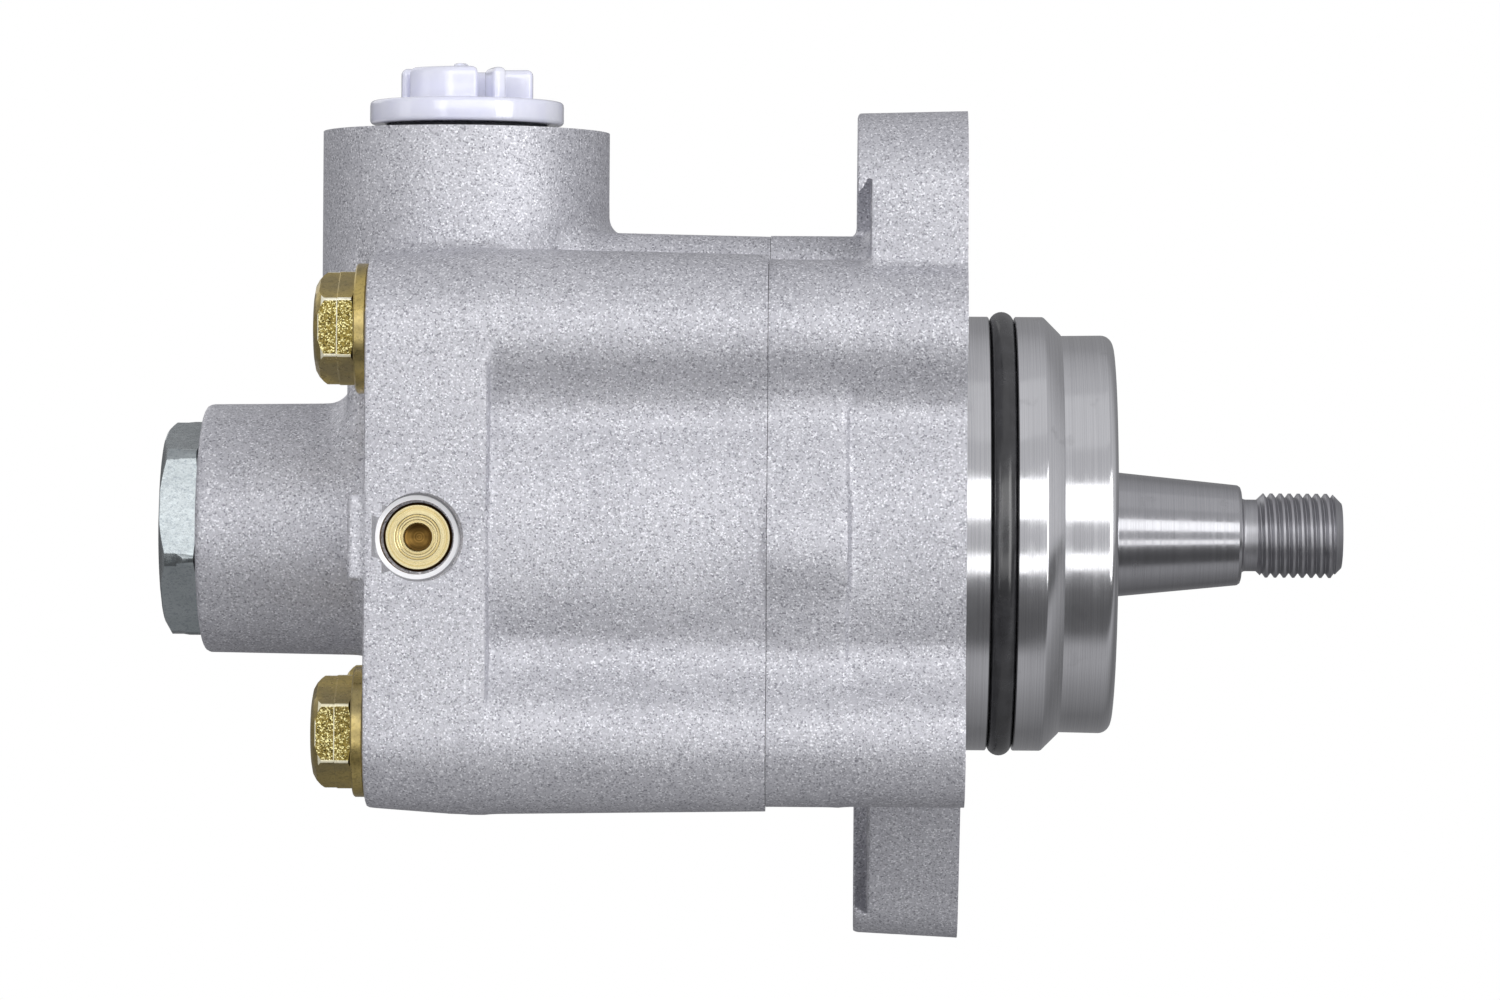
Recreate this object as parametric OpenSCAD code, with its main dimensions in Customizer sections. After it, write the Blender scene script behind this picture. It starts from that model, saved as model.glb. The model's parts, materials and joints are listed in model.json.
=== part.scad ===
// Gear-driven hydraulic vane pump for power steering, with a built-in flow control valve.
// X runs along the shaft towards its threaded end, Z is up, and the origin is where the
// shaft axis meets the face of the mounting flange. All lengths are in millimetres.

/* [Casing] */
// Depth of the front housing behind the flange face
front_len = 32; // [31:1:34]
// Length of the rear housing, from the parting face to its rear face
rear_len = 64.3; // [64:0.1:70]
// Radius of the round casing between the bolt lobes
barrel_r = 44; // [43:0.5:45]
// Side of the square on which the four casing bolts stand
bolt_spacing = 65; // [64.5:0.5:67]
// Radius of the bolt lobes on the rear housing
lobe_r = 12.6; // [11:0.1:13]
// Length of the square block at the rear end
block_len = 20; // [18:1:22]
// Height of the suction channel above the shaft axis
channel_top = 48.6; // [48:0.2:52]
// Width of the suction channel
channel_w = 32; // [28:1:34]

/* [Bosses] */
// Radius of the flow valve boss
valve_boss_r = 20.6; // [19:0.2:22]
// Length of the flow valve boss behind the rear face
valve_boss_len = 29.4; // [29:0.1:32]
// Radius of the suction boss
suction_boss_r = 23.8; // [20:0.2:25]
// Distance of the suction boss behind the flange face
suction_back = 82.75; // [82:0.25:85]
// Height of the suction boss above the shaft axis
suction_top = 66; // [64:1:72]
// Radius of the pressure port boss on the far side
port_boss_r = 15; // [13:1:16]
// Reach of the pressure port boss from the shaft axis
port_reach = 54; // [52:1:58]

/* [Mounting flange] */
// Circle through the two mounting holes
lug_pcd = 115; // [113:1:118]
// Angle of each mounting hole from the vertical
lug_angle = 23.5; // [20:0.5:26]
// Diameter of the mounting holes
lug_hole_d = 13.5; // [11:0.5:14]
// Radius of the rounded lug ends
lug_r = 14.4; // [13:0.2:15]
// Thickness of the lugs
lug_t = 18; // [16:1:19]

/* [Pilot] */
// Diameter of the centring lands
pilot_d = 72; // [70:1:74]
// Diameter of the pilot's nose
nose_d = 66; // [64:1:66]
// Reach of the pilot in front of the flange face
pilot_len = 24.7; // [24.7:0.1:27]

/* [Shaft] */
// Diameter of the 1 in 5 cone at the front face of the pilot
cone_d = 20.8; // [20:0.1:22]
// Length of the cone in front of the pilot
cone_len = 21.5; // [18:0.5:24]
// Thread diameter at the shaft end
thread_d = 14; // [12:1:14]
// Length of the thread
thread_len = 13.7; // [12:0.1:18]

/* [Pump cartridge] */
// Radius of the rotor
rotor_r = 24; // [23:0.5:24]
// Number of vanes
vane_count = 10; // [8:1:12]
// Thickness of one vane
vane_t = 2; // [1.6:0.1:2.2]
// Rise of the cam ring's bore above the rotor
cam_lift = 2.8; // [2:0.1:3]
// Width of the cam ring
ring_w = 22; // [20:1:22]

/* [Ball bearing] */
// Bore of the bearing
bearing_id = 25; // [25:1:25]
// Outer diameter of the bearing
bearing_od = 52; // [52:1:52]
// Width of the bearing
bearing_w = 15; // [15:1:15]
// Number of balls
ball_count = 9; // [7:1:9]
// Diameter of one ball
ball_d = 7.94; // [7:0.01:8]

/* [Flow valve] */
// Diameter of the valve bore
valve_bore_d = 22; // [22:1:22]
// Size across the flats of the valve plug
plug_flats = 32; // [30:1:32]

/* [Hidden] */
$fn = 64;

// Stations along the shaft axis
parting_x = -front_len;
rear_x = parting_x - rear_len;
block_x = rear_x + block_len;
valve_x = rear_x - valve_boss_len;
suction_x = -suction_back;
chamber_x = parting_x - 41;
bush_x = chamber_x - 7.5;
// Step between the two zones of the front housing
step_x = -19;

// Clearances and small gaps
past = 1;
seat_gap = 0.02;
running_gap = 0.05;
nip = 0.02;

// Casing
bolt_r = bolt_spacing / sqrt(2);
half_spacing = bolt_spacing / 2;
block_step = 0.3;
block_lobe_r = lobe_r + block_step;
block_half = half_spacing + block_lobe_r;
front_lobe_r = lobe_r - 1;
front_barrel_r = barrel_r - 1;
web_fillet = 6;
chamber_r = 35;
face_ring_r = 37.65;
face_ring_section = 1;
m10_r = 5;
m10_clear_r = 5.25;
m10_flats = 16;
m10_head = 6.7;
washer_r = 10.5;
washer_t = 2;
bolt_tip_x = -12;
rear_web_proud = 5;
rear_web_top = 45;
front_rib_r = 16;
front_rib_z = -1.2;
front_rib_proud = 1.7;

// Valve boss, cross drill and pressure port
valve_bore_r = valve_bore_d / 2;
valve_floor_x = -84;
plug_thread_r = 12;
plug_thread_x = valve_x + 12.5;
cross_x = -87.7;
cross_z = -1;
cross_r = 3.5;
cross_plug_r = 5.45;
cross_seat_r = 5.55;
cross_mouth_r = 7;
cross_plug_y = -42;
cross_seat_y = -34;
port_x = -86;
port_r = 8.25;
port_depth = 16;
port_drill_r = 4.5;

// Suction side
suction_bore_r = 12.25;
suction_low_r = 9.5;
suction_step_z = 46;
suction_floor_z = 34;
suction_mouth = 2.05;
channel_z = 41;
channel_r = 5;
channel_reach = 18;

// Mounting holes and lug ends
hole_y = -lug_pcd / 2 * sin(lug_angle);
hole_z = lug_pcd / 2 * cos(lug_angle);
lug_end_z = hole_z + 1.6;

// Pilot and shaft bores
pilot_r = pilot_d / 2;
nose_r = nose_d / 2;
groove_x = 4.1;
groove_w = 4.3;
groove_r = pilot_r - 3.4;
pilot_ring_section = 2.1;
land_end_x = 13.15;
nose_x = 16.15;
bearing_x = 6;
bearing_end_x = bearing_x + bearing_w;
circlip_t = 1.5;
circlip_groove_r = 27.2;
seal_x = -4;
seal_end_x = 4;
seal_r = 21;
shaft_bore_r = 13;
journal_r = bearing_id / 2;
shoulder_r = 14;
shoulder_end_x = 23.5;

// Cartridge
ring_r = 34.9;
front_plate_t = 6;
rear_plate_t = 10;
ring_front_x = parting_x - front_plate_t;
ring_rear_x = ring_front_x - ring_w;
plate_rear_x = ring_rear_x - rear_plate_t;
rotor_gap = 0.05;
cam_clear = 0.2;
dowel_r = 2;
dowel_pcr = 30.5;
dowel_front_x = -27.5;
vane_root_r = 16;
spline_count = 20;
spline_root_r = 8.4;
spline_tip_r = 9.2;
tail_r = 7.5;
tail_clear_r = 8.5;
shaft_mid_r = 10;
kidney_in_r = 19.5;
kidney_out_r = 23.5;

// Flow valve
spool_r = valve_bore_r - 0.03;
spool_rear_x = -104;
spool_front_x = -86;
spool_bore_r = 5;
spool_bore_x = -90;
relief_seat_x = -101;
relief_ball_r = 2.2;
relief_orifice_r = 1.2;
relief_ball_x = relief_seat_x + sqrt(pow(relief_ball_r, 2) - pow(relief_orifice_r, 2)) + 0.03;
guide_x = relief_ball_x + relief_ball_r + running_gap;
guide_t = 1;
spring_seat_x = valve_x + 2;
spring_mean_r = 6.5;
spring_wire_r = 0.9;

// Suction plug
flange_z = suction_top + 1.25;
flange_t = 3.9;
flange_r = 16.1;
grip_r = 10.95;
grip_h = 5.1;

// A solid with its outline in the Y-Z plane, from x0 to x1
module along_x(x0, x1) {
    translate([x0, 0, 0]) rotate([90, 0, 90]) linear_extrude(x1 - x0) children();
}

// A rod along X from x0 to x1
module rod_x(r, x0, x1) {
    translate([x0, 0, 0]) rotate([0, 90, 0]) cylinder(r = r, h = x1 - x0);
}

// A rod along Y from y0 to y1
module rod_y(r, y0, y1) {
    translate([0, y0, 0]) rotate([-90, 0, 0]) cylinder(r = r, h = y1 - y0);
}

// A turned solid about the X axis; the outline gives radius and station
module turned_x() {
    rotate([0, 90, 0]) rotate_extrude() children();
}

// A ring of round section about the X axis
module o_ring_x(mean_r, section_r, x) {
    turned_x() translate([mean_r, x]) circle(r = section_r);
}

// One child at each casing bolt
module at_bolts() {
    for (sy = [-1, 1], sz = [-1, 1])
        translate([0, sy * half_spacing, sz * half_spacing]) children();
}

// One child at each mounting hole, half a turn apart
module at_lugs() {
    for (a = [0, 180]) rotate([a, 0, 0]) children();
}

// Points of a swept coil spring about the X axis
function ring_at(c, r, mean, t, sides) =
    [for (j = [0:sides - 1])
        let (a = 360 * j / sides, rr = mean + r * cos(a))
        [c + r * sin(a), rr * cos(t), rr * sin(t)]];

// A coil spring about the X axis from x0 to x1, outside to outside
module coil_spring(mean, wire, x0, x1, turns, steps = 16, sides = 8) {
    count = turns * steps;
    pitch = (x1 - x0 - 2 * wire) / count;
    rings = [for (i = [0:count]) ring_at(x0 + wire + pitch * i, wire, mean, 360 * i / steps, sides)];
    points = [for (ring = rings) for (p = ring) p];
    sides_faces = [for (i = [0:count - 1], j = [0:sides - 1])
        let (k = (j + 1) % sides)
        [i * sides + j, i * sides + k, (i + 1) * sides + k, (i + 1) * sides + j]];
    first_cap = [for (j = [sides - 1:-1:0]) j];
    last_cap = [for (j = [0:sides - 1]) count * sides + j];
    polyhedron(points, concat(sides_faces, [first_cap, last_cap]));
}

// Web that fills the corner between the barrel and one lobe, with a concave fillet
module lobe_web(barrel, lobe, side) {
    reach = barrel + web_fillet - nip;
    lobe_reach = lobe + web_fillet - nip;
    turn = acos((reach * reach + bolt_r * bolt_r - lobe_reach * lobe_reach) / (2 * reach * bolt_r));
    centre = [reach * cos(turn), side * reach * sin(turn)];
    difference() {
        polygon([[0, 0], [bolt_r, 0], centre]);
        translate(centre) circle(r = web_fillet);
    }
}

// Barrel with its four bolt lobes
module casing_outline(barrel, lobe) {
    circle(r = barrel);
    for (a = [45:90:315])
        rotate(a) {
            translate([bolt_r, 0]) circle(r = lobe);
            lobe_web(barrel, lobe, 1);
            lobe_web(barrel, lobe, -1);
        }
}

// Square end block with corners round the bolts
module block_outline() {
    square([2 * block_half, bolt_spacing], center = true);
    square([bolt_spacing, 2 * block_half], center = true);
    for (sy = [-1, 1], sz = [-1, 1])
        translate([sy * half_spacing, sz * half_spacing]) circle(r = block_lobe_r);
}

// Flow valve boss with a chamfered end
module valve_boss() {
    chamfer = 1.4;
    turned_x() polygon([[0, valve_x], [valve_boss_r - chamfer, valve_x], [valve_boss_r, valve_x + chamfer],
                        [valve_boss_r, block_x], [0, block_x]]);
}

// Upright suction boss, tapering in below where it overhangs the rear face
module suction_boss() {
    taper_z = 30;
    taper_h = 14;
    translate([suction_x, 0, 0]) {
        translate([0, 0, taper_z]) cylinder(r = suction_boss_r, h = suction_top - taper_z);
        translate([0, 0, taper_z - taper_h])
            cylinder(r1 = suction_boss_r - taper_h, r2 = suction_boss_r, h = taper_h);
    }
}

// Oil ways and the valve bore inside the rear housing
module rear_passages() {
    bypass_x = -91;
    bypass_r = 4;
    delivery_z = -12;
    delivery_r = 2.5;
    slot_w = 8;
    rod_x(valve_bore_r, valve_x - past, valve_floor_x);
    rod_x(plug_thread_r + seat_gap, valve_x - past, plug_thread_x + 0.2);
    translate([cross_x, 0, cross_z]) rod_y(cross_r, cross_seat_y, 0);
    translate([bypass_x, 0, 0]) cylinder(r = bypass_r, h = suction_floor_z + past);
    translate([0, 0, delivery_z]) rod_x(delivery_r, rear_x + 4, chamber_x + past);
    translate([suction_x, 0, suction_step_z]) cylinder(r = suction_bore_r, h = suction_top);
    translate([suction_x, 0, suction_floor_z]) cylinder(r = suction_low_r, h = suction_top);
    translate([suction_x, 0, suction_top - suction_mouth])
        cylinder(r1 = suction_bore_r, r2 = suction_bore_r + suction_mouth + past, h = suction_mouth + past);
    translate([0, 0, channel_z]) rod_x(channel_r, suction_x, parting_x - 4);
    translate([ring_rear_x - 3, -slot_w / 2, chamber_r - 4]) cube([ring_w + 4, slot_w, 10]);
}

// Cross drill seat on the near side and pressure port on the far side
module side_ports() {
    mouth = cross_mouth_r - cross_seat_r;
    translate([cross_x, 0, cross_z]) {
        rod_y(cross_seat_r, -block_half - past, cross_seat_y);
        translate([0, -block_half - nip, 0]) rotate([-90, 0, 0])
            cylinder(r1 = cross_mouth_r, r2 = cross_seat_r, h = mouth);
    }
    translate([port_x, 0, 0]) {
        rod_y(port_r, port_reach - port_depth, port_reach + past);
        rod_y(port_drill_r, 0, port_reach);
    }
}

module rear_housing() {
    rib_z = -8;
    rib_h = 14;
    rib_proud = 2.6;
    rib_w = 12;
    rib_inset = 1.5;
    color([0.66, 0.67, 0.70]) difference() {
        union() {
            along_x(block_x, parting_x) casing_outline(barrel_r, lobe_r);
            along_x(rear_x, block_x) block_outline();
            valve_boss();
            suction_boss();
            translate([suction_x, -channel_w / 2, 0])
                cube([parting_x - suction_x, channel_w, channel_top]);
            translate([rear_x - rear_web_proud, -channel_w / 2, 0])
                cube([rear_web_proud + past, channel_w, rear_web_top]);
            translate([rear_x - rib_proud, -block_half + rib_inset, rib_z])
                cube([rib_proud + past, rib_w, rib_h]);
            translate([port_x, 0, 0]) rod_y(port_boss_r, 0, port_reach);
        }
        rod_x(chamber_r, chamber_x, parting_x + past);
        rod_x(tail_r + 1.5, bush_x, chamber_x + past);
        at_bolts() rod_x(m10_clear_r, rear_x - past, parting_x + past);
        along_x(parting_x - 2 * face_ring_section, parting_x + past) difference() {
            circle(r = face_ring_r + face_ring_section + running_gap);
            circle(r = face_ring_r - face_ring_section - running_gap);
        }
        rear_passages();
        side_ports();
    }
}

// Outline of the pilot: radius and station, with a rounded front corner
module pilot_outline() {
    corner = 2;
    arc = [for (a = [0:15:90]) [nose_r - corner + corner * cos(a), pilot_len - corner + corner * sin(a)]];
    polygon(concat([[0, -past], [pilot_r, -past], [pilot_r, groove_x], [groove_r, groove_x],
                    [groove_r, groove_x + groove_w], [pilot_r, groove_x + groove_w],
                    [pilot_r, land_end_x], [nose_r, nose_x]], arc, [[0, pilot_len]]));
}

// One mounting lug, the upper one: upright outside, leaning towards the casing inside,
// with a round relief behind its bolt head, which is displaced from the hole
module lug(relief_out, relief_in) {
    lean = 40;
    base_z = 34;
    relief_r = 20.8;
    relief_depth = 2.3;
    touch = [hole_y + lug_r * cos(lean), lug_end_z + lug_r * sin(lean)];
    foot = [touch[0] + (touch[1] - base_z) * tan(lean), base_z];
    difference() {
        along_x(-lug_t, 0) {
            translate([hole_y, lug_end_z]) circle(r = lug_r);
            polygon([[hole_y - lug_r, 0], [foot[0], 0], foot, touch, [hole_y - lug_r, lug_end_z]]);
        }
        translate([0, hole_y + relief_out, hole_z - relief_in])
            rod_x(relief_r, -lug_t - past, -lug_t + relief_depth);
    }
}

module front_housing() {
    color([0.66, 0.67, 0.70]) difference() {
        union() {
            along_x(parting_x, step_x) casing_outline(barrel_r, front_lobe_r);
            along_x(step_x, 0) casing_outline(front_barrel_r, front_lobe_r);
            lug(-1.6, 10.7);
            rotate([180, 0, 0]) lug(8.2, 9.3);
            turned_x() pilot_outline();
            translate([parting_x, -channel_w / 2, 0]) cube([channel_reach, channel_w, channel_top]);
            translate([0, -barrel_r - front_rib_proud + front_rib_r, front_rib_z])
                rod_x(front_rib_r, parting_x, step_x);
        }
        rod_x(bearing_od / 2, bearing_x, pilot_len + past);
        rod_x(circlip_groove_r, bearing_end_x + 0.05, bearing_end_x + circlip_t + 0.15);
        rod_x(seal_r, seal_x - past, bearing_x + past);
        rod_x(shaft_bore_r, parting_x - past, seal_x);
        at_bolts() rod_x(m10_r + seat_gap, parting_x - past, bolt_tip_x + 2);
        at_lugs() translate([0, hole_y, hole_z]) rod_x(lug_hole_d / 2, -lug_t - past, past);
        for (side = [-1, 1])
            translate([0, side * dowel_pcr, 0])
                rod_x(dowel_r + seat_gap, parting_x - past, dowel_front_x + 0.5);
    }
}

module housing_o_ring() {
    color([0.08, 0.08, 0.08])
        o_ring_x(face_ring_r, face_ring_section - 0.01, parting_x - face_ring_section);
}

module pilot_o_ring() {
    color([0.08, 0.08, 0.08])
        o_ring_x(groove_r + pilot_ring_section + nip, pilot_ring_section, groove_x + groove_w / 2);
}

// Hexagon head bolt with the head's corners up and down
module housing_bolts() {
    head_x = rear_x - washer_t - m10_head;
    corner_r = m10_flats / sqrt(3);
    color([0.72, 0.63, 0.40]) at_bolts() {
        intersection() {
            along_x(head_x, rear_x - washer_t) rotate(90) circle(r = corner_r, $fn = 6);
            turned_x() polygon([[0, head_x], [corner_r - 2.4, head_x], [corner_r + 0.2, head_x + 1.5],
                                [corner_r + 0.2, rear_x - washer_t], [0, rear_x - washer_t]]);
        }
        rod_x(m10_r, rear_x - washer_t - nip, bolt_tip_x);
    }
}

module bolt_washers() {
    color([0.72, 0.63, 0.40]) at_bolts()
        along_x(rear_x - washer_t, rear_x) difference() {
            circle(r = washer_r);
            circle(r = m10_clear_r);
        }
}

// Bore radius of the cam ring at an angle from Y
function cam_radius(a) = rotor_r + cam_clear + cam_lift * (1 - cos(2 * a)) / 2;

module dowel_holes(x0, x1) {
    for (side = [-1, 1])
        translate([0, side * dowel_pcr, 0]) rod_x(dowel_r + seat_gap, x0 - past, x1 + past);
}

module cam_ring() {
    color([0.45, 0.46, 0.48]) difference() {
        along_x(ring_rear_x, ring_front_x) difference() {
            circle(r = ring_r);
            polygon([for (a = [0:3:357]) cam_radius(a) * [cos(a), sin(a)]]);
        }
        dowel_holes(ring_rear_x, ring_front_x);
    }
}

// Four kidney ports between two radii, each centred between the cam's high and low points
module kidneys() {
    span = 52;
    for (a = [45:90:315])
        intersection() {
            difference() {
                circle(r = kidney_out_r);
                circle(r = kidney_in_r);
            }
            polygon([[0, 0], 40 * [cos(a - span / 2), sin(a - span / 2)], 60 * [cos(a), sin(a)],
                     40 * [cos(a + span / 2), sin(a + span / 2)]]);
        }
}

module front_side_plate() {
    depth = 3;
    color([0.52, 0.52, 0.54]) difference() {
        rod_x(ring_r, ring_front_x, parting_x);
        rod_x(shaft_bore_r, ring_front_x - past, parting_x + past);
        along_x(ring_front_x - past, ring_front_x + depth) kidneys();
        dowel_holes(ring_front_x, parting_x);
    }
}

module rear_pressure_plate() {
    groove_end_x = ring_rear_x - 3.7;
    color([0.52, 0.52, 0.54]) difference() {
        rod_x(ring_r, plate_rear_x, ring_rear_x);
        rod_x(tail_clear_r, plate_rear_x - past, ring_rear_x + past);
        along_x(plate_rear_x - past, ring_rear_x + past) kidneys();
        along_x(groove_end_x - 2.6, groove_end_x) difference() {
            circle(r = ring_r + past);
            circle(r = ring_r - 2.5);
        }
        dowel_holes(plate_rear_x, ring_rear_x);
    }
}

module pressure_plate_o_ring() {
    color([0.08, 0.08, 0.08]) o_ring_x(ring_r - 1.22, 1.25, ring_rear_x - 5);
}

// Conical spring washer behind the pressure plate
module plate_spring() {
    t = 1;
    inner_r = 17;
    outer_r = 28;
    color([0.35, 0.36, 0.40])
        turned_x() polygon([[inner_r, plate_rear_x - t], [outer_r, chamber_x], [outer_r, chamber_x + t],
                            [inner_r, plate_rear_x]]);
}

module dowel_pins() {
    color([0.60, 0.60, 0.62]) for (side = [-1, 1])
        translate([0, side * dowel_pcr, 0]) rod_x(dowel_r, plate_rear_x + 2, dowel_front_x);
}

// Outline of a spline with straight-sided teeth
module spline_outline(grow) {
    step = 360 / spline_count;
    polygon([for (i = [0:spline_count - 1], corner = [[0, 0], [0.32, 0], [0.42, 1], [0.78, 1], [0.9, 0]])
        let (r = corner[1] == 1 ? spline_tip_r + grow : spline_root_r + grow, a = (i + corner[0]) * step)
        r * [cos(a), sin(a)]]);
}

module rotor() {
    root_r = vane_root_r - 0.1;
    slot_t = vane_t + 0.04;
    color([0.50, 0.50, 0.52]) difference() {
        rod_x(rotor_r, ring_rear_x + rotor_gap, ring_front_x - rotor_gap);
        along_x(ring_rear_x - past, ring_front_x + past) {
            spline_outline(running_gap);
            for (i = [0:vane_count - 1])
                rotate(i * 360 / vane_count) translate([root_r, -slot_t / 2])
                    square([rotor_r - root_r + past, slot_t]);
        }
    }
}

module vanes() {
    color([0.75, 0.75, 0.77]) along_x(ring_rear_x + 0.1, ring_front_x - 0.1)
        for (i = [0:vane_count - 1])
            rotate(i * 360 / vane_count) translate([vane_root_r, -vane_t / 2])
                square([rotor_r - vane_root_r, vane_t]);
}

module drive_shaft() {
    cone_x = pilot_len + cone_len;
    cone_end_r = cone_d / 2 - cone_len / 10;
    cone_start_r = cone_d / 2 + (pilot_len - shoulder_end_x) / 10;
    thread_r = thread_d / 2;
    neck_r = thread_r - 1.05;
    neck_len = 3;
    thread_x = cone_x + neck_len;
    end_x = thread_x + thread_len;
    clip_x = bearing_x - circlip_t;
    clip_r = journal_r - 0.7;
    color([0.70, 0.70, 0.72]) {
        turned_x() polygon([
            [0, bush_x + 0.5], [tail_r - 0.8, bush_x + 0.5], [tail_r, bush_x + 1.3], [tail_r, ring_rear_x],
            [spline_root_r, ring_rear_x], [spline_root_r, ring_front_x], [shaft_mid_r, ring_front_x],
            [shaft_mid_r, seal_x - 3], [journal_r, seal_x - 0.5], [journal_r, clip_x],
            [clip_r, clip_x], [clip_r, bearing_x - 0.1], [journal_r, bearing_x - 0.1],
            [journal_r, bearing_end_x], [shoulder_r, bearing_end_x], [shoulder_r, shoulder_end_x],
            [cone_start_r, shoulder_end_x], [cone_end_r + 0.05, cone_x - 0.5], [cone_end_r - 0.4, cone_x],
            [neck_r, cone_x], [neck_r, thread_x], [thread_r - 0.8, thread_x], [thread_r, thread_x + 0.8],
            [thread_r, end_x - 1.5], [thread_r - 1.5, end_x], [0, end_x]]);
        along_x(ring_rear_x, ring_front_x) spline_outline(0);
    }
}

// Flat retaining ring with a gap and two pierced eyelets on the circle eye_r
module retaining_ring(in_r, out_r, x0, eye_r) {
    gap_w = 7;
    eye_y = gap_w / 2 + 2;
    eye_z = sqrt(eye_r * eye_r - eye_y * eye_y);
    along_x(x0, x0 + circlip_t - 0.2) difference() {
        union() {
            difference() {
                circle(r = out_r);
                circle(r = in_r);
                translate([-gap_w / 2, 0]) square([gap_w, out_r + past]);
            }
            for (side = [-1, 1])
                translate([side * eye_y, eye_z]) circle(r = 2);
        }
        for (side = [-1, 1])
            translate([side * eye_y, eye_z]) circle(r = 0.9);
    }
}

module shaft_circlip() {
    x0 = bearing_x - circlip_t + 0.05;
    color([0.22, 0.22, 0.24]) retaining_ring(journal_r - 0.65, journal_r + 2.2, x0, journal_r + 2);
}

module bearing_circlip() {
    in_r = bearing_od / 2 - 3;
    color([0.22, 0.22, 0.24]) retaining_ring(in_r, circlip_groove_r - 0.1, bearing_end_x + 0.1, in_r + 0.2);
}

module rear_bush() {
    color([0.72, 0.52, 0.30]) along_x(bush_x, chamber_x) difference() {
        circle(r = tail_r + 1.5 - seat_gap);
        circle(r = tail_r + running_gap);
    }
}

// Bearing race between two radii, with a groove for the balls
module race(in_r, out_r) {
    track_r = ball_d / 2 + 0.06;
    mid_x = bearing_x + bearing_w / 2;
    mean_r = (bearing_id + bearing_od) / 4;
    turned_x() difference() {
        translate([in_r, bearing_x]) square([out_r - in_r, bearing_w]);
        translate([mean_r, mid_x]) circle(r = track_r);
    }
}

module bearing_inner_race() {
    color([0.78, 0.78, 0.80]) race(bearing_id / 2 + 0.01, bearing_id / 2 + 4);
}

module bearing_outer_race() {
    color([0.78, 0.78, 0.80]) race(bearing_od / 2 - 4, bearing_od / 2 - 0.01);
}

// One child at each ball, standing on its own centre
module at_balls() {
    mean_r = (bearing_id + bearing_od) / 4;
    for (i = [0:ball_count - 1])
        rotate([i * 360 / ball_count, 0, 0])
            translate([bearing_x + bearing_w / 2, mean_r, 0]) children();
}

module bearing_balls() {
    color([0.85, 0.85, 0.87]) at_balls() sphere(r = ball_d / 2);
}

module bearing_cage() {
    mean_r = (bearing_id + bearing_od) / 4;
    half_w = 4.6;
    pocket_reach = 4;
    mid_x = bearing_x + bearing_w / 2;
    color([0.70, 0.60, 0.38]) difference() {
        along_x(mid_x - half_w, mid_x + half_w) difference() {
            circle(r = mean_r + 1.6);
            circle(r = mean_r - 1.6);
        }
        at_balls() rod_y(ball_d / 2 + 0.08, -pocket_reach, pocket_reach);
    }
}

module shaft_seal_case() {
    t = 1;
    out_r = seal_r - seat_gap;
    in_r = journal_r + 2.5;
    color([0.30, 0.30, 0.32]) turned_x() polygon([
        [out_r, seal_x], [out_r, seal_end_x], [in_r, seal_end_x],
        [in_r, seal_end_x - t], [out_r - t, seal_end_x - t], [out_r - t, seal_x]]);
}

module shaft_seal_lip() {
    lip_r = journal_r + running_gap;
    web_r = seal_r - 1.1;
    web_x = seal_end_x - 1.05;
    color([0.12, 0.12, 0.13]) turned_x() difference() {
        polygon([[lip_r + 0.6, web_x], [web_r, web_x], [web_r, web_x - 0.95],
                 [lip_r + 2.6, web_x - 0.95], [lip_r + 3, seal_x + 0.6], [lip_r + 0.9, seal_x + 0.2],
                 [lip_r, seal_x + 1.6]]);
        translate([lip_r + 3.1, seal_x + 1.7]) circle(r = 0.85);
    }
}

module seal_garter_spring() {
    color([0.62, 0.62, 0.64]) o_ring_x(journal_r + running_gap + 3.1, 0.8, seal_x + 1.7);
}

// Plug with a trimmed hexagon, a threaded body, a ringed nose and a recess for the spring
module valve_plug() {
    head_x = valve_x - 6.3;
    trim_r = 17.8;
    turn = 136.7;
    nose_x0 = plug_thread_x;
    nose_x1 = nose_x0 + 3;
    nose_r0 = valve_bore_r - 0.1;
    ring_floor_r = 9.3;
    recess_r = 7.8;
    color([0.70, 0.72, 0.76]) difference() {
        union() {
            intersection() {
                along_x(head_x, valve_x) rotate(turn) circle(r = plug_flats / sqrt(3), $fn = 6);
                turned_x() polygon([[0, head_x], [trim_r - 1.9, head_x], [trim_r, head_x + 1.1],
                                    [trim_r, valve_x], [0, valve_x]]);
            }
            rod_x(plug_thread_r, valve_x - nip, nose_x0);
            turned_x() polygon([[0, nose_x0 - nip], [nose_r0, nose_x0 - nip], [nose_r0, nose_x0 + 0.6],
                                [ring_floor_r, nose_x0 + 0.6], [ring_floor_r, nose_x0 + 2.4],
                                [nose_r0, nose_x0 + 2.4], [nose_r0, nose_x1], [0, nose_x1]]);
        }
        rod_x(recess_r, spring_seat_x, nose_x1 + past);
    }
}

module valve_plug_o_ring() {
    section = 0.84;
    color([0.08, 0.08, 0.08]) o_ring_x(valve_bore_r - section - 0.01, section, plug_thread_x + 1.5);
}

module flow_spool() {
    cross_hole_r = 1.2;
    cross_hole_x = -95.5;
    groove_floor_r = 9;
    groove_x0 = -98;
    groove_x1 = -93;
    stop_r = 5;
    stop_x = valve_floor_x - running_gap;
    color([0.62, 0.63, 0.66]) difference() {
        turned_x() polygon([
            [0, spool_rear_x], [spool_r - 0.5, spool_rear_x], [spool_r, spool_rear_x + 0.5],
            [spool_r, groove_x0], [groove_floor_r, groove_x0], [groove_floor_r, groove_x1],
            [spool_r, groove_x1], [spool_r, spool_front_x], [stop_r, spool_front_x], [stop_r, stop_x],
            [0, stop_x]]);
        rod_x(spool_bore_r, spool_rear_x - past, spool_bore_x);
        translate([cross_hole_x, 0, 0]) rod_y(cross_hole_r, -spool_r - past, spool_r + past);
    }
}

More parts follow.
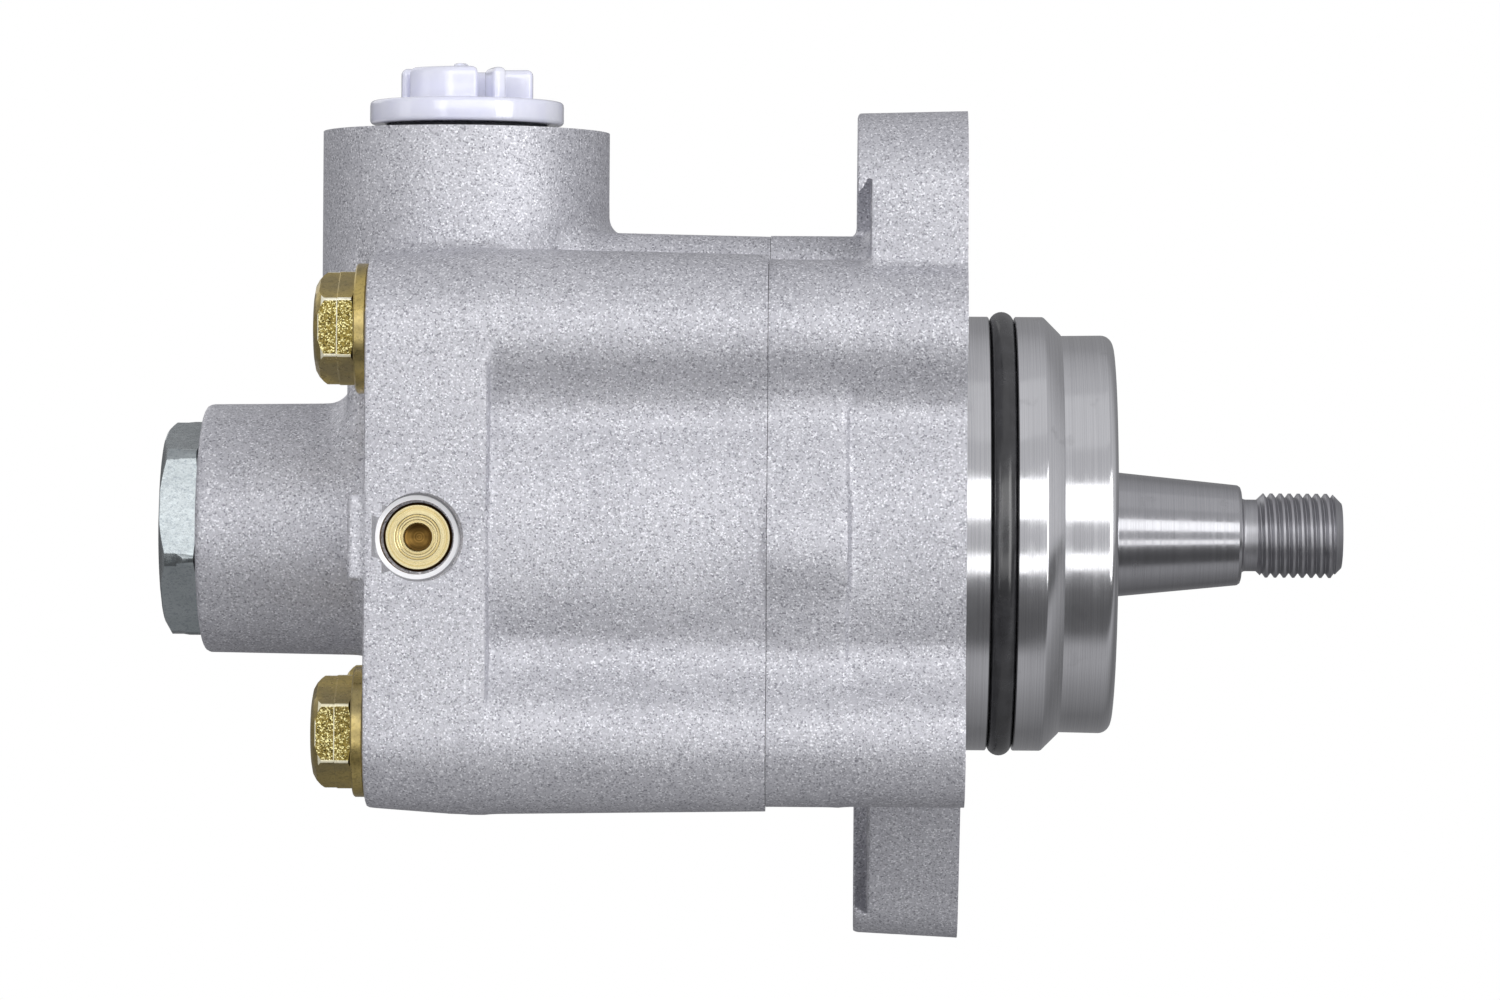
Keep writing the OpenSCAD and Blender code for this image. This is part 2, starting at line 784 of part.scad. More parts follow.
module spool_spring() {
    color([0.35, 0.36, 0.40]) coil_spring(spring_mean_r, spring_wire_r, spring_seat_x, spool_rear_x, 6);
}

module relief_seat() {
    color([0.60, 0.60, 0.62]) along_x(spool_rear_x, relief_seat_x) difference() {
        circle(r = spool_bore_r - seat_gap);
        circle(r = relief_orifice_r);
    }
}

module relief_ball() {
    color([0.85, 0.85, 0.87]) translate([relief_ball_x, 0, 0]) sphere(r = relief_ball_r);
}

module relief_guide() {
    head_r = 3.2;
    stem_r = 1.2;
    stem_len = 2.6;
    color([0.60, 0.60, 0.62]) {
        rod_x(head_r, guide_x, guide_x + guide_t);
        rod_x(stem_r, guide_x, guide_x + guide_t + stem_len);
    }
}

module relief_spring() {
    color([0.35, 0.36, 0.40]) coil_spring(2.3, 0.4, guide_x + guide_t, spool_bore_x, 5);
}

// Brass plug in the cross drill, with a blind drilled hole in its face
module cross_drill_plug() {
    hole_r = 2.25;
    hole_depth = 2.6;
    color([0.80, 0.66, 0.36]) translate([cross_x, 0, cross_z]) difference() {
        rod_y(cross_plug_r, cross_plug_y, cross_seat_y);
        rod_y(hole_r, cross_plug_y - past, cross_plug_y + hole_depth);
        translate([0, cross_plug_y + hole_depth - nip, 0]) rotate([-90, 0, 0])
            cylinder(r1 = hole_r, r2 = 0, h = 1.3);
    }
}

// Push-in plug for the suction port: ringed flange, spigot and a castellated grip
module suction_plug() {
    spigot_r = 12;
    spigot_z = 52;
    slot_w = 2.6;
    slot_turns = [23.5, 110.3];
    notch_turns = [-49, -8];
    hollow_r = 9.5;
    core_r = 5;
    gate_r = 1.3;
    gate_h = 0.9;
    color([0.86, 0.84, 0.90]) translate([suction_x, 0, 0]) difference() {
        union() {
            translate([0, 0, flange_z]) cylinder(r = flange_r, h = flange_t);
            translate([0, 0, spigot_z]) cylinder(r = spigot_r, h = flange_z - spigot_z + past);
            translate([0, 0, flange_z + flange_t - nip]) linear_extrude(grip_h + nip) difference() {
                circle(r = grip_r);
                circle(r = core_r);
                for (a = slot_turns)
                    rotate(a) square([2 * (grip_r + past), slot_w], center = true);
                polygon([[0, 0], for (a = notch_turns) 2 * grip_r * [cos(a), sin(a)]]);
            }
            translate([-0.6, -8, flange_z + flange_t - nip]) cylinder(r = gate_r, h = grip_h + gate_h);
        }
        translate([0, 0, spigot_z - past]) cylinder(r = hollow_r, h = flange_z - spigot_z);
    }
}

module suction_plug_o_ring() {
    mean_r = 13.02;
    section = 0.98;
    color([0.06, 0.06, 0.06]) translate([suction_x, 0, flange_z - section - nip])
        rotate_extrude() translate([mean_r, 0]) circle(r = section);
}

rear_housing();
front_housing();
housing_o_ring();
housing_bolts();
bolt_washers();
pilot_o_ring();
cam_ring();
front_side_plate();
rear_pressure_plate();
pressure_plate_o_ring();
plate_spring();
dowel_pins();
rotor();
vanes();
drive_shaft();
shaft_circlip();
rear_bush();
bearing_inner_race();
bearing_outer_race();
bearing_cage();
bearing_balls();
bearing_circlip();
shaft_seal_case();
shaft_seal_lip();
seal_garter_spring();
valve_plug();
valve_plug_o_ring();
flow_spool();
spool_spring();
relief_seat();
relief_ball();
relief_guide();
relief_spring();
cross_drill_plug();
suction_plug();
suction_plug_o_ring();
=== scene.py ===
"""Looks for the power steering vane pump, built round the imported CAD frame.

Sizes are in millimetres until a mesh is made, and the frame is the CAD's: X along the shaft, Z up.
"""
import json
import math

import bmesh
import bpy
import numpy as np
import openvdb
from mathutils import Euler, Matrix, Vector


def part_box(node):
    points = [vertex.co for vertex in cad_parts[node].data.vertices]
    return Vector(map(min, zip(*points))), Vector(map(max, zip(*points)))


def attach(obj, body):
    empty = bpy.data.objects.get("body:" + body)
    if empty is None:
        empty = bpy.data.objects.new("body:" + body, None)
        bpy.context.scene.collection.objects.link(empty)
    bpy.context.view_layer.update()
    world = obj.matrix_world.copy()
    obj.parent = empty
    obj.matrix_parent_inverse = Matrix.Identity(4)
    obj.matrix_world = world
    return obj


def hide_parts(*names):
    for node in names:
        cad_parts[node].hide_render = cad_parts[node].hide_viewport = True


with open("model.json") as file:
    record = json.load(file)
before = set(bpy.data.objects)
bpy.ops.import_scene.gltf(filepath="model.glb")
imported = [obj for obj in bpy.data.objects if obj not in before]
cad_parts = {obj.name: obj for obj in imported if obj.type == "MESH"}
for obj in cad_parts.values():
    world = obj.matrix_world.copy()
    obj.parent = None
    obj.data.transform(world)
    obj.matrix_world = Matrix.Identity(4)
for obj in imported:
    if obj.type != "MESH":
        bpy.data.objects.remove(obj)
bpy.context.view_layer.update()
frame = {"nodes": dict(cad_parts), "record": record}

MM = 0.001

# ---- sizes read from the frame


def span(node):
    """Lowest and highest corners of a CAD node, in millimetres."""
    low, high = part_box(node)
    return [c / MM for c in low], [c / MM for c in high]


REAR_LOW, REAR_HIGH = span("rear_housing")
FRONT_HIGH = span("front_housing")[1]
BOLT_LOW, BOLT_HIGH = span("housing_bolts")
WASHER_LOW, WASHER_HIGH = span("bolt_washers")
PLUG_LOW, PLUG_HIGH = span("valve_plug")
CROSS_LOW, CROSS_HIGH = span("cross_drill_plug")
CAP_LOW, CAP_HIGH = span("suction_plug")
SHAFT_LOW, SHAFT_HIGH = span("drive_shaft")
SPOOL_LOW = span("flow_spool")[0]
ROTOR_LOW, ROTOR_HIGH = span("rotor")

PARTING_X = REAR_HIGH[0]
VALVE_END_X = REAR_LOW[0]
SUCTION_TOP = REAR_HIGH[2]
PORT_END_Y = REAR_HIGH[1]
PILOT_END_X = FRONT_HIGH[0]
REAR_FACE_X = WASHER_HIGH[0]
SUCTION_X = (CAP_LOW[0] + CAP_HIGH[0]) / 2
CROSS_X = (CROSS_LOW[0] + CROSS_HIGH[0]) / 2
CROSS_Z = (CROSS_LOW[2] + CROSS_HIGH[2]) / 2
CROSS_AT = (CROSS_X, 0, CROSS_Z)
SUCTION_AT = (SUCTION_X, 0, 0)

# ---- casing sizes
BOLT_AT = 32.5
BARREL_R = 44.0
FRONT_BARREL_R = 43.0
LOBE_R = 12.6
FRONT_LOBE_R = 11.6
BLOCK_X = REAR_FACE_X + 20.0
BLOCK_STEP = 0.3
BLOCK_HALF = BOLT_AT + LOBE_R + BLOCK_STEP
VALVE_R = 20.6
SUCTION_R = 23.8
CHANNEL_HALF = 16.0
CHANNEL_TOP = 48.6
WEB_X = REAR_FACE_X - 5.0
WEB_TOP = 45.0
PORT_X = -86.0
PORT_R = 15.0
STEP_X = -19.0
FRONT_CHANNEL_END_X = -14.0
LUG_BACK_X = -18.0
LUG_R = 14.4
LUG_LEAN = math.radians(40)
HOLE_CIRCLE_R = 57.5
HOLE_TURN = math.radians(23.5)
HOLE_Y = -HOLE_CIRCLE_R * math.sin(HOLE_TURN)
HOLE_Z = HOLE_CIRCLE_R * math.cos(HOLE_TURN)
LUG_END_Z = HOLE_Z + 1.6
LUG_HOLE_R = 6.75
RELIEF_R = 20.8
RELIEF_DEPTH = 2.3
STOCK = 1.5
VOXEL = 0.55
FIELD_MARGIN = 3.0


# ---- meshes


def mesh_object(name, vertices, faces, angle=32.0):
    """A mesh object from millimetre vertices, smooth except at edges sharper than the angle."""
    mesh = bpy.data.meshes.new(name)
    mesh.from_pydata((np.asarray(vertices, float) * MM).tolist(), [], faces)
    tidy_mesh(mesh, angle)
    obj = bpy.data.objects.new(name, mesh)
    bpy.context.scene.collection.objects.link(obj)
    return obj


def tidy_mesh(mesh, angle):
    """Face every normal outwards, and set smooth shading with sharp edges."""
    work = bmesh.new()
    work.from_mesh(mesh)
    bmesh.ops.recalc_face_normals(work, faces=work.faces)
    if work.calc_volume(signed=True) < 0:
        bmesh.ops.reverse_faces(work, faces=work.faces)
    work.to_mesh(mesh)
    work.free()
    shade(mesh, angle)


def shade(mesh, angle):
    """Smooth shading, with a sharp edge wherever two faces meet at more than the angle."""
    mesh.shade_smooth()
    mesh.set_sharp_from_angle(angle=math.radians(angle))


def along(axis, station, across, up):
    """Coordinates with the station on the named axis and the other two in order."""
    if axis == "X":
        return np.stack([station, across, up], -1)
    if axis == "Y":
        return np.stack([across, station, up], -1)
    return np.stack([across, up, station], -1)


def eased(profile, width):
    """The profile with each corner off the axis cut back by the width."""
    count = len(profile)
    out = []
    for i, point in enumerate(profile):
        before, after = profile[i - 1], profile[(i + 1) % count]
        here = np.array(point, float)
        if point[0] <= 0:
            out.append(tuple(here))
            continue
        for other in (before, after):
            way = np.array(other, float) - here
            length = np.hypot(*way)
            out.append(tuple(here + way / length * min(width, length / 3)))
    return out


def turned(name, profile, axis="X", centre=(0.0, 0.0, 0.0), segments=160, angle=32.0):
    """Solid of revolution from (radius, station) pairs. It is a ring if the profile stays off the axis."""
    solid = profile[0][0] <= 0
    turn = np.arange(segments) * 2 * math.pi / segments
    vertices, rows, faces = [], [], []
    for radius, station in profile:
        angles = turn if radius > 0 else turn[:1]
        rows.append(range(len(vertices), len(vertices) + len(angles)))
        flat = along(axis, np.full(len(angles), station), radius * np.cos(angles), radius * np.sin(angles))
        vertices.extend((flat + np.array(centre)).tolist())
    pairs = list(zip(rows, rows[1:])) + ([] if solid else [(rows[-1], rows[0])])
    for a, b in pairs:
        for i in range(segments):
            j = (i + 1) % segments
            if len(a) == 1 and len(b) == 1:
                break
            if len(a) == 1:
                faces.append((a[0], b[j], b[i]))
            elif len(b) == 1:
                faces.append((a[i], a[j], b[0]))
            else:
                faces.append((a[i], a[j], b[j], b[i]))
    return mesh_object(name, vertices, faces, angle)


def prism(name, outline, axis, low, high):
    """An outline of (across, up) points drawn out along an axis."""
    count = len(outline)
    flat = np.array(outline, float)
    ends = [along(axis, np.full(count, s), flat[:, 0], flat[:, 1]) for s in (low, high)]
    faces = [list(range(count)), list(range(count, 2 * count))]
    faces += [(i, (i + 1) % count, count + (i + 1) % count, count + i) for i in range(count)]
    return mesh_object(name, np.vstack(ends), faces)


def bar(name, low, high):
    """A box between two corners, used as a cutter."""
    outline = [(low[1], low[2]), (high[1], low[2]), (high[1], high[2]), (low[1], high[2])]
    return prism(name, outline, "X", low[0], high[0])


def combine(target, tools, operation="DIFFERENCE", angle=32.0):
    """Boolean the tools into the target one after another, and remove them."""
    for tool in tools:
        step = target.modifiers.new(tool.name, "BOOLEAN")
        step.operation = operation
        step.solver = "MANIFOLD"
        step.object = tool
    apply_modifiers(target)
    for tool in tools:
        old = tool.data
        bpy.data.objects.remove(tool)
        bpy.data.meshes.remove(old)
    shade(target.data, angle)
    return target


def apply_modifiers(obj):
    """Replace an object's mesh with what its modifiers make of it."""
    graph = bpy.context.evaluated_depsgraph_get()
    made = bpy.data.meshes.new_from_object(obj.evaluated_get(graph), depsgraph=graph)
    old = obj.data
    obj.modifiers.clear()
    obj.data = made
    made.name = obj.name
    bpy.data.meshes.remove(old)


def soften(obj, width, segments=2, angle=30.0):
    """Round every edge sharper than the angle."""
    step = obj.modifiers.new("round", "BEVEL")
    step.width = width * MM
    step.segments = segments
    step.limit_method = "ANGLE"
    step.angle_limit = math.radians(angle)
    apply_modifiers(obj)
    shade(obj.data, 50)
    return obj


def steady_flats(obj):
    """Keep each large face's shading even, and leave the bending to the small faces beside it."""
    step = obj.modifiers.new("weights", "WEIGHTED_NORMAL")
    step.keep_sharp = True
    apply_modifiers(obj)


# ---- cast shapes as distance fields


class Field:
    """Coordinates of a block of sample points, and the mesh of a distance field over them."""

    def __init__(self, low, high, step=VOXEL):
        """Sample points from corner to corner, and a few steps past them."""
        self.low = np.array(low, np.float32) - FIELD_MARGIN * step
        self.step = step
        axes = [np.arange(a, b + FIELD_MARGIN * step, step, dtype=np.float32) for a, b in zip(self.low, high)]
        self.x = axes[0][:, None, None]
        self.y = axes[1][None, :, None]
        self.z = axes[2][None, None, :]

    def mesh(self, name, distance, flatness):
        """The surface where the distance is zero, with larger faces where it is flatter."""
        band = 3 * self.step
        grid = openvdb.FloatGrid(band)
        grid.copyFromArray(np.clip(distance, -band, band).astype(np.float32))
        points, triangles, quads = grid.convertToPolygons(isovalue=0.0, adaptivity=flatness)
        faces = [tuple(f) for f in np.asarray(triangles).tolist()]
        faces += [tuple(f) for f in np.asarray(quads).tolist()]
        return mesh_object(name, points * self.step + self.low, faces, angle=60.0)


def slab(value, low, high):
    """Distance to the space between two stations."""
    return np.abs(value - (low + high) / 2) - (high - low) / 2


def drawn_out(outline, along_axis, edge):
    """The space inside two distances, such as an outline's and an axial one, with rounded edges."""
    a, b = outline + edge, along_axis + edge
    return np.minimum(np.maximum(a, b), 0) + np.hypot(np.maximum(a, 0), np.maximum(b, 0)) - edge


def box_field(px, py, pz, edge):
    """A box from three slab distances, with rounded edges."""
    a, b, c = px + edge, py + edge, pz + edge
    outside = np.sqrt(np.maximum(a, 0) ** 2 + np.maximum(b, 0) ** 2 + np.maximum(c, 0) ** 2)
    return outside + np.minimum(np.maximum(a, np.maximum(b, c)), 0) - edge


def joined(a, b, fillet):
    """Union of two fields with a concave fillet where they meet."""
    reach = np.hypot(np.maximum(fillet - a, 0), np.maximum(fillet - b, 0))
    return np.maximum(fillet, np.minimum(a, b)) - reach


def carved(a, b, edge):
    """Field a with field b taken away, and the new edge rounded."""
    return -joined(-a, b, edge)


def lobed(y, z, barrel, lobe, valley=6.0):
    """Distance to the barrel with its four bolt lobes."""
    lobes = np.hypot(np.abs(y) - BOLT_AT, np.abs(z) - BOLT_AT) - lobe
    return joined(np.hypot(y, z) - barrel, lobes, valley)


def rounded_square(y, z, half, corner):
    """Distance to a square with round corners."""
    return drawn_out(np.abs(y) - half, np.abs(z) - half, corner)


def channel_field(f, low_x, high_x, top):
    """The suction channel's bar along the top of the casing, with well rounded upper edges."""
    outline = drawn_out(slab(f.y, -CHANNEL_HALF, CHANNEL_HALF), slab(f.z, 20.0, CHANNEL_TOP) - top, 4.5)
    return drawn_out(outline, slab(f.x, low_x, high_x), 0.5)


def rear_cast_field(f):
    """The rear casting with stock on its machined faces. It grows a little away from the parting face."""
    draft_length, overhang_z, foot_z, block_drop = 44.0, 30.0, 16.0, 0.25
    away = np.clip((PARTING_X - f.x) / draft_length, 0, 1)
    casing = drawn_out(lobed(f.y, f.z, BARREL_R - 0.2 + 0.8 * away, LOBE_R - 0.25 + 0.75 * away),
                       slab(f.x, BLOCK_X - 4, PARTING_X + STOCK), 0.25)
    taper_start, taper = REAR_FACE_X + 14.0, 0.07
    shrink = taper * np.maximum(taper_start - f.x, 0)
    block = drawn_out(rounded_square(f.y, f.z + block_drop, BLOCK_HALF, LOBE_R + BLOCK_STEP) + shrink,
                      slab(f.x, REAR_FACE_X, BLOCK_X), 0.6)
    shape = joined(casing, block, 0.45)
    channel_rise = 0.018 * (PARTING_X - f.x)
    channel = channel_field(f, SUCTION_X, PARTING_X + STOCK, np.minimum(channel_rise, 0.5))
    shape = joined(shape, channel, 2.5)
    upright = np.hypot(f.x - SUCTION_X, f.y) - SUCTION_R
    upright = np.maximum(upright, (upright + overhang_z - f.z) * math.sqrt(0.5))
    suction = drawn_out(upright, slab(f.z, foot_z, SUCTION_TOP + STOCK), 0.3)
    shape = joined(shape, suction, 3.0)
    web = box_field(slab(f.x, WEB_X, REAR_FACE_X + 6), slab(f.y, -CHANNEL_HALF, CHANNEL_HALF),
                    slab(f.z, 0.0, WEB_TOP), 2.0)
    shape = joined(shape, web, 2.0)
    valve_draft = 0.0135 * (f.x - VALVE_END_X)
    valve = drawn_out(np.hypot(f.y, f.z) - VALVE_R - valve_draft,
                      slab(f.x, VALVE_END_X, REAR_FACE_X + 6), 1.2)
    shape = joined(shape, valve, 4.2)
    port = drawn_out(np.hypot(f.x - PORT_X, f.z) - PORT_R, slab(f.y, 20.0, PORT_END_Y + STOCK), 0.3)
    shape = joined(shape, port, 3.5)
    rib = box_field(slab(f.x, REAR_FACE_X - 2.6, REAR_FACE_X + 4),
                    slab(f.y, -BLOCK_HALF + 1.6, -BLOCK_HALF + 13), slab(f.z, -8.0, 6.0), 0.7)
    return joined(shape, rib, 0.6)


def lug_field(f, turn, back_x, draft, relief_out, relief_in):
    """One mounting lug, upright outside and leaning inside, with the relief behind its bolt head."""
    floor_z, tilt = 12.0, 0.7
    y, z = f.y * turn - HOLE_Y, f.z * turn
    rise = z - LUG_END_Z
    upright, leaning = -y, y * math.cos(LUG_LEAN) + rise * math.sin(LUG_LEAN)
    around_end = (y * math.sin(LUG_LEAN) < rise * math.cos(LUG_LEAN)) & (rise > 0)
    arm = np.where(around_end, np.hypot(y, rise), np.maximum(upright, leaning)) - LUG_R
    arm = np.maximum(arm + draft * f.x / back_x, floor_z - z)
    lug = drawn_out(arm, slab(f.x, back_x, STOCK), 0.45)
    shift = tilt * np.clip(back_x + RELIEF_DEPTH - f.x, 0, RELIEF_DEPTH)
    relief = np.hypot(y - relief_out - turn * shift, z - HOLE_Z + relief_in + shift) - RELIEF_R
    return carved(lug, np.maximum(relief, f.x - back_x - RELIEF_DEPTH), 0.3)


def front_cast_field(f):
    """The front casting with stock on the flange face."""
    back_x = PARTING_X - STOCK
    zone_a = drawn_out(lobed(f.y, f.z, BARREL_R, FRONT_LOBE_R), slab(f.x, back_x, STEP_X), 0.8)
    zone_b = drawn_out(lobed(f.y, f.z, FRONT_BARREL_R, FRONT_LOBE_R - 0.1), slab(f.x, STEP_X - 2, STOCK), 0.3)
    shape = joined(zone_a, zone_b, 0.3)
    rib_r, rib_proud, rib_z = 16.0, 1.35, -1.2
    rib = np.hypot(f.y + BARREL_R + rib_proud - rib_r, f.z - rib_z) - rib_r
    shape = joined(shape, drawn_out(rib, slab(f.x, back_x, STEP_X + 0.3), 1.0), 0.7)
    shape = joined(shape, lug_field(f, 1.0, -17.85, 0.5, -1.6, 12.5), 1.2)
    shape = joined(shape, lug_field(f, -1.0, -17.6, 0.85, 9.6, 9.3), 1.2)
    channel = channel_field(f, back_x, FRONT_CHANNEL_END_X, 0.15)
    return joined(shape, channel, 1.5)


# ---- materials


class Paint:
    """Short names for the nodes of one material."""

    def __init__(self, name, metallic, roughness, **constants):
        """A shader whose unchanging values sit on its own sockets."""
        self.name = name
        self.material = bpy.data.materials.new(name)
        self.material.use_nodes = True
        self.tree = self.material.node_tree
        self.shader = self.tree.nodes["Principled BSDF"]
        self.shader.inputs["Metallic"].default_value = metallic
        self.shader.inputs["Roughness"].default_value = roughness
        for key, value in constants.items():
            self.shader.inputs[key.replace("_", " ")].default_value = value
        self.place = self.add("ShaderNodeTexCoord").outputs["Object"]

    def add(self, kind, **settings):
        """A new node with its settings."""
        node = self.tree.nodes.new(kind)
        for key, value in settings.items():
            setattr(node, key, value)
        return node

    def link(self, source, target):
        """Feed a socket from a number, a colour or another node's output."""
        if isinstance(source, tuple):
            target.default_value = (*source, 1.0)
        elif isinstance(source, (int, float)):
            target.default_value = source
        else:
            self.tree.links.new(source, target)

    def maths(self, operation, a, b=0.0):
        """One arithmetic step."""
        node = self.add("ShaderNodeMath", operation=operation)
        self.link(a, node.inputs[0])
        self.link(b, node.inputs[1])
        return node.outputs[0]

    def noise(self, scale, detail=2.0, rough=0.5, vector=None):
        """Soft noise, in the object's own coordinates unless others are given."""
        node = self.add("ShaderNodeTexNoise")
        node.inputs["Scale"].default_value = scale
        node.inputs["Detail"].default_value = detail
        node.inputs["Roughness"].default_value = rough
        self.link(self.place if vector is None else vector, node.inputs["Vector"])
        return node.outputs["Fac"]

    def dots(self, scale):
        """A random value for each small cell."""
        node = self.add("ShaderNodeTexVoronoi")
        node.inputs["Scale"].default_value = scale
        self.link(self.place, node.inputs["Vector"])
        parts = self.add("ShaderNodeSeparateColor")
        self.link(node.outputs["Color"], parts.inputs[0])
        return parts.outputs[0]

    def spread(self, value, low, high, to_low, to_high):
        """The value stretched from one range to another, and held at its ends."""
        node = self.add("ShaderNodeMapRange")
        self.link(value, node.inputs["Value"])
        for key, amount in (("From Min", low), ("From Max", high), ("To Min", to_low), ("To Max", to_high)):
            node.inputs[key].default_value = amount
        return node.outputs["Result"]

    def mix(self, amount, first, second):
        """A colour between the first, at 0, and the second, at 1."""
        node = self.add("ShaderNodeMix", data_type="RGBA")
        self.link(amount, node.inputs[0])
        self.link(first, node.inputs[6])
        self.link(second, node.inputs[7])
        return node.outputs[2]

    def bump(self, height, depth, strength=1.0, under=None):
        """A bump whose full height is the depth, in millimetres."""
        node = self.add("ShaderNodeBump")
        node.inputs["Strength"].default_value = strength
        node.inputs["Distance"].default_value = depth * MM
        self.link(height, node.inputs["Height"])
        if under is not None:
            self.link(under, node.inputs["Normal"])
        return node.outputs["Normal"]

    def ring_vector(self, axis, centre, pitch, length):
        """Coordinates that are the same all round an axis, apart from a slow drift, for tool marks."""
        shift = self.add("ShaderNodeVectorMath", operation="SUBTRACT")
        self.link(self.place, shift.inputs[0])
        shift.inputs[1].default_value = [c * MM for c in centre]
        parts = self.add("ShaderNodeSeparateXYZ")
        self.link(shift.outputs[0], parts.inputs[0])
        index = "XYZ".index(axis)
        a, b = [parts.outputs[i] for i in range(3) if i != index]
        squares = self.maths("ADD", self.maths("MULTIPLY", a, a), self.maths("MULTIPLY", b, b))
        radius = self.maths("SQRT", squares)
        drift = self.maths("MULTIPLY", self.maths("ADD", a, b), 1.0 / (length * MM))
        joint = self.add("ShaderNodeCombineXYZ")
        self.link(self.maths("MULTIPLY", parts.outputs[index], 1.0 / (pitch * MM)), joint.inputs[0])
        self.link(self.maths("MULTIPLY", radius, 1.0 / (pitch * MM)), joint.inputs[1])
        self.link(drift, joint.inputs[2])
        return joint.outputs[0]

    def finish(self, colour, roughness, normal):
        """Connect the finish to the shader, and give the material with its name."""
        self.link(colour, self.shader.inputs["Base Color"])
        self.link(roughness, self.shader.inputs["Roughness"])
        self.link(normal, self.shader.inputs["Normal"])
        return self.name, self.material


def cast_metal(name, light, dark, metallic=0.55):
    """Bead-blasted casting: a tight sparkling grain over slow drifts of tone."""
    p = Paint(name, metallic, 0.5)
    grain = p.noise(3300.0, 1.0, 0.5)
    dots = p.dots(4100.0)
    drift = p.noise(60.0, 3.0, 0.5)
    tone = p.mix(p.spread(drift, 0.35, 0.65, 0.0, 1.0), dark, light)
    pitted = p.mix(p.spread(dots, 0.0, 0.26, 0.75, 0.0), tone, (0.17, 0.17, 0.20))
    sparkling = p.mix(p.spread(dots, 0.78, 1.0, 0.0, 0.9), pitted, (0.96, 0.96, 1.0))
    rough = p.spread(grain, 0.35, 0.65, 0.40, 0.62)
    return p.finish(sparkling, rough, p.bump(grain, 0.09, 0.9))


def turned_metal(name, colour, worn, roughness, axis="X", centre=(0, 0, 0), pitch=0.16, depth=0.0015,
                 stretch=0.6, metallic=1.0):
    """Lathe-turned metal: fine rings round an axis, faint scratches and small stains."""
    p = Paint(name, metallic, roughness, Anisotropic=stretch, Anisotropic_Rotation=0.25)
    if stretch > 0:
        tangent = p.add("ShaderNodeTangent", direction_type="RADIAL", axis=axis)
        p.link(tangent.outputs[0], p.shader.inputs["Tangent"])
    rings = p.noise(1.0, 2.0, 0.6, p.ring_vector(axis, centre, pitch, 60.0))
    bands = p.noise(1.0, 2.0, 0.5, p.ring_vector(axis, centre, pitch * 9, 90.0))
    stains = p.noise(220.0, 4.0, 0.6)
    tone = p.mix(p.spread(rings, 0.40, 0.60, 0.0, 1.0), worn, colour)
    tone = p.mix(p.spread(stains, 0.62, 0.75, 0.0, 0.3), tone, tuple(c * 0.6 for c in worn))
    rough = p.maths("ADD", p.spread(bands, 0.3, 0.7, roughness - 0.05, roughness + 0.05),
                    p.spread(stains, 0.5, 0.8, 0.0, 0.08))
    return p.finish(tone, rough, p.bump(rings, depth, 0.8))


def plated_metal(name, colours, roughness, grit, speckle, sparkle=0.0, cells=3300.0, metallic=1.0):
    """Zinc-plated steel: drifting passivation tints, and a fine grit in the plating, dark and bright."""
    p = Paint(name, metallic, roughness)
    drift = p.noise(130.0, 3.0, 0.6)
    dots = p.dots(cells)
    tone = p.mix(p.spread(drift, 0.35, 0.65, 0.0, 1.0), colours[0], colours[1])
    tone = p.mix(p.spread(dots, 0.0, 0.4, speckle, 0.0), tone, colours[2])
    tone = p.mix(p.spread(dots, 0.74, 0.9, 0.0, sparkle), tone, colours[3])
    rough = p.spread(p.noise(900.0, 2.0), 0.3, 0.7, roughness - 0.05, roughness + 0.08)
    return p.finish(tone, rough, p.bump(p.noise(2600.0, 1.0, 0.5), grit, 0.8))


def rubber(name):
    """Moulded rubber with a light film of oil."""
    p = Paint(name, 0.0, 0.24, Specular_IOR_Level=0.9)
    bloom = p.noise(260.0, 4.0, 0.6)
    tone = p.mix(p.spread(bloom, 0.4, 0.7, 0.0, 1.0), (0.018, 0.018, 0.020), (0.040, 0.040, 0.044))
    rough = p.spread(bloom, 0.3, 0.7, 0.18, 0.30)
    return p.finish(tone, rough, p.bump(p.noise(1800.0, 2.0), 0.010, 0.4))


def plastic(name):
    """Pale moulded plastic with a soft gloss and faint flow marks."""
    p = Paint(name, 0.0, 0.16, Specular_IOR_Level=1.0, Coat_Weight=0.6, Coat_Roughness=0.06)
    flow = p.noise(90.0, 3.0, 0.55)
    tone = p.mix(p.spread(flow, 0.35, 0.65, 0.0, 1.0), (0.81, 0.82, 0.99), (0.90, 0.91, 1.0))
    rough = p.spread(p.noise(500.0, 3.0), 0.3, 0.7, 0.10, 0.20)
    return p.finish(tone, rough, p.bump(flow, 0.03, 0.4, p.bump(p.noise(1500.0, 2.0), 0.006, 0.4)))


def grey(level, blue=0.02):
    """A neutral colour with a little blue in it."""
    return (level, level, level + blue)


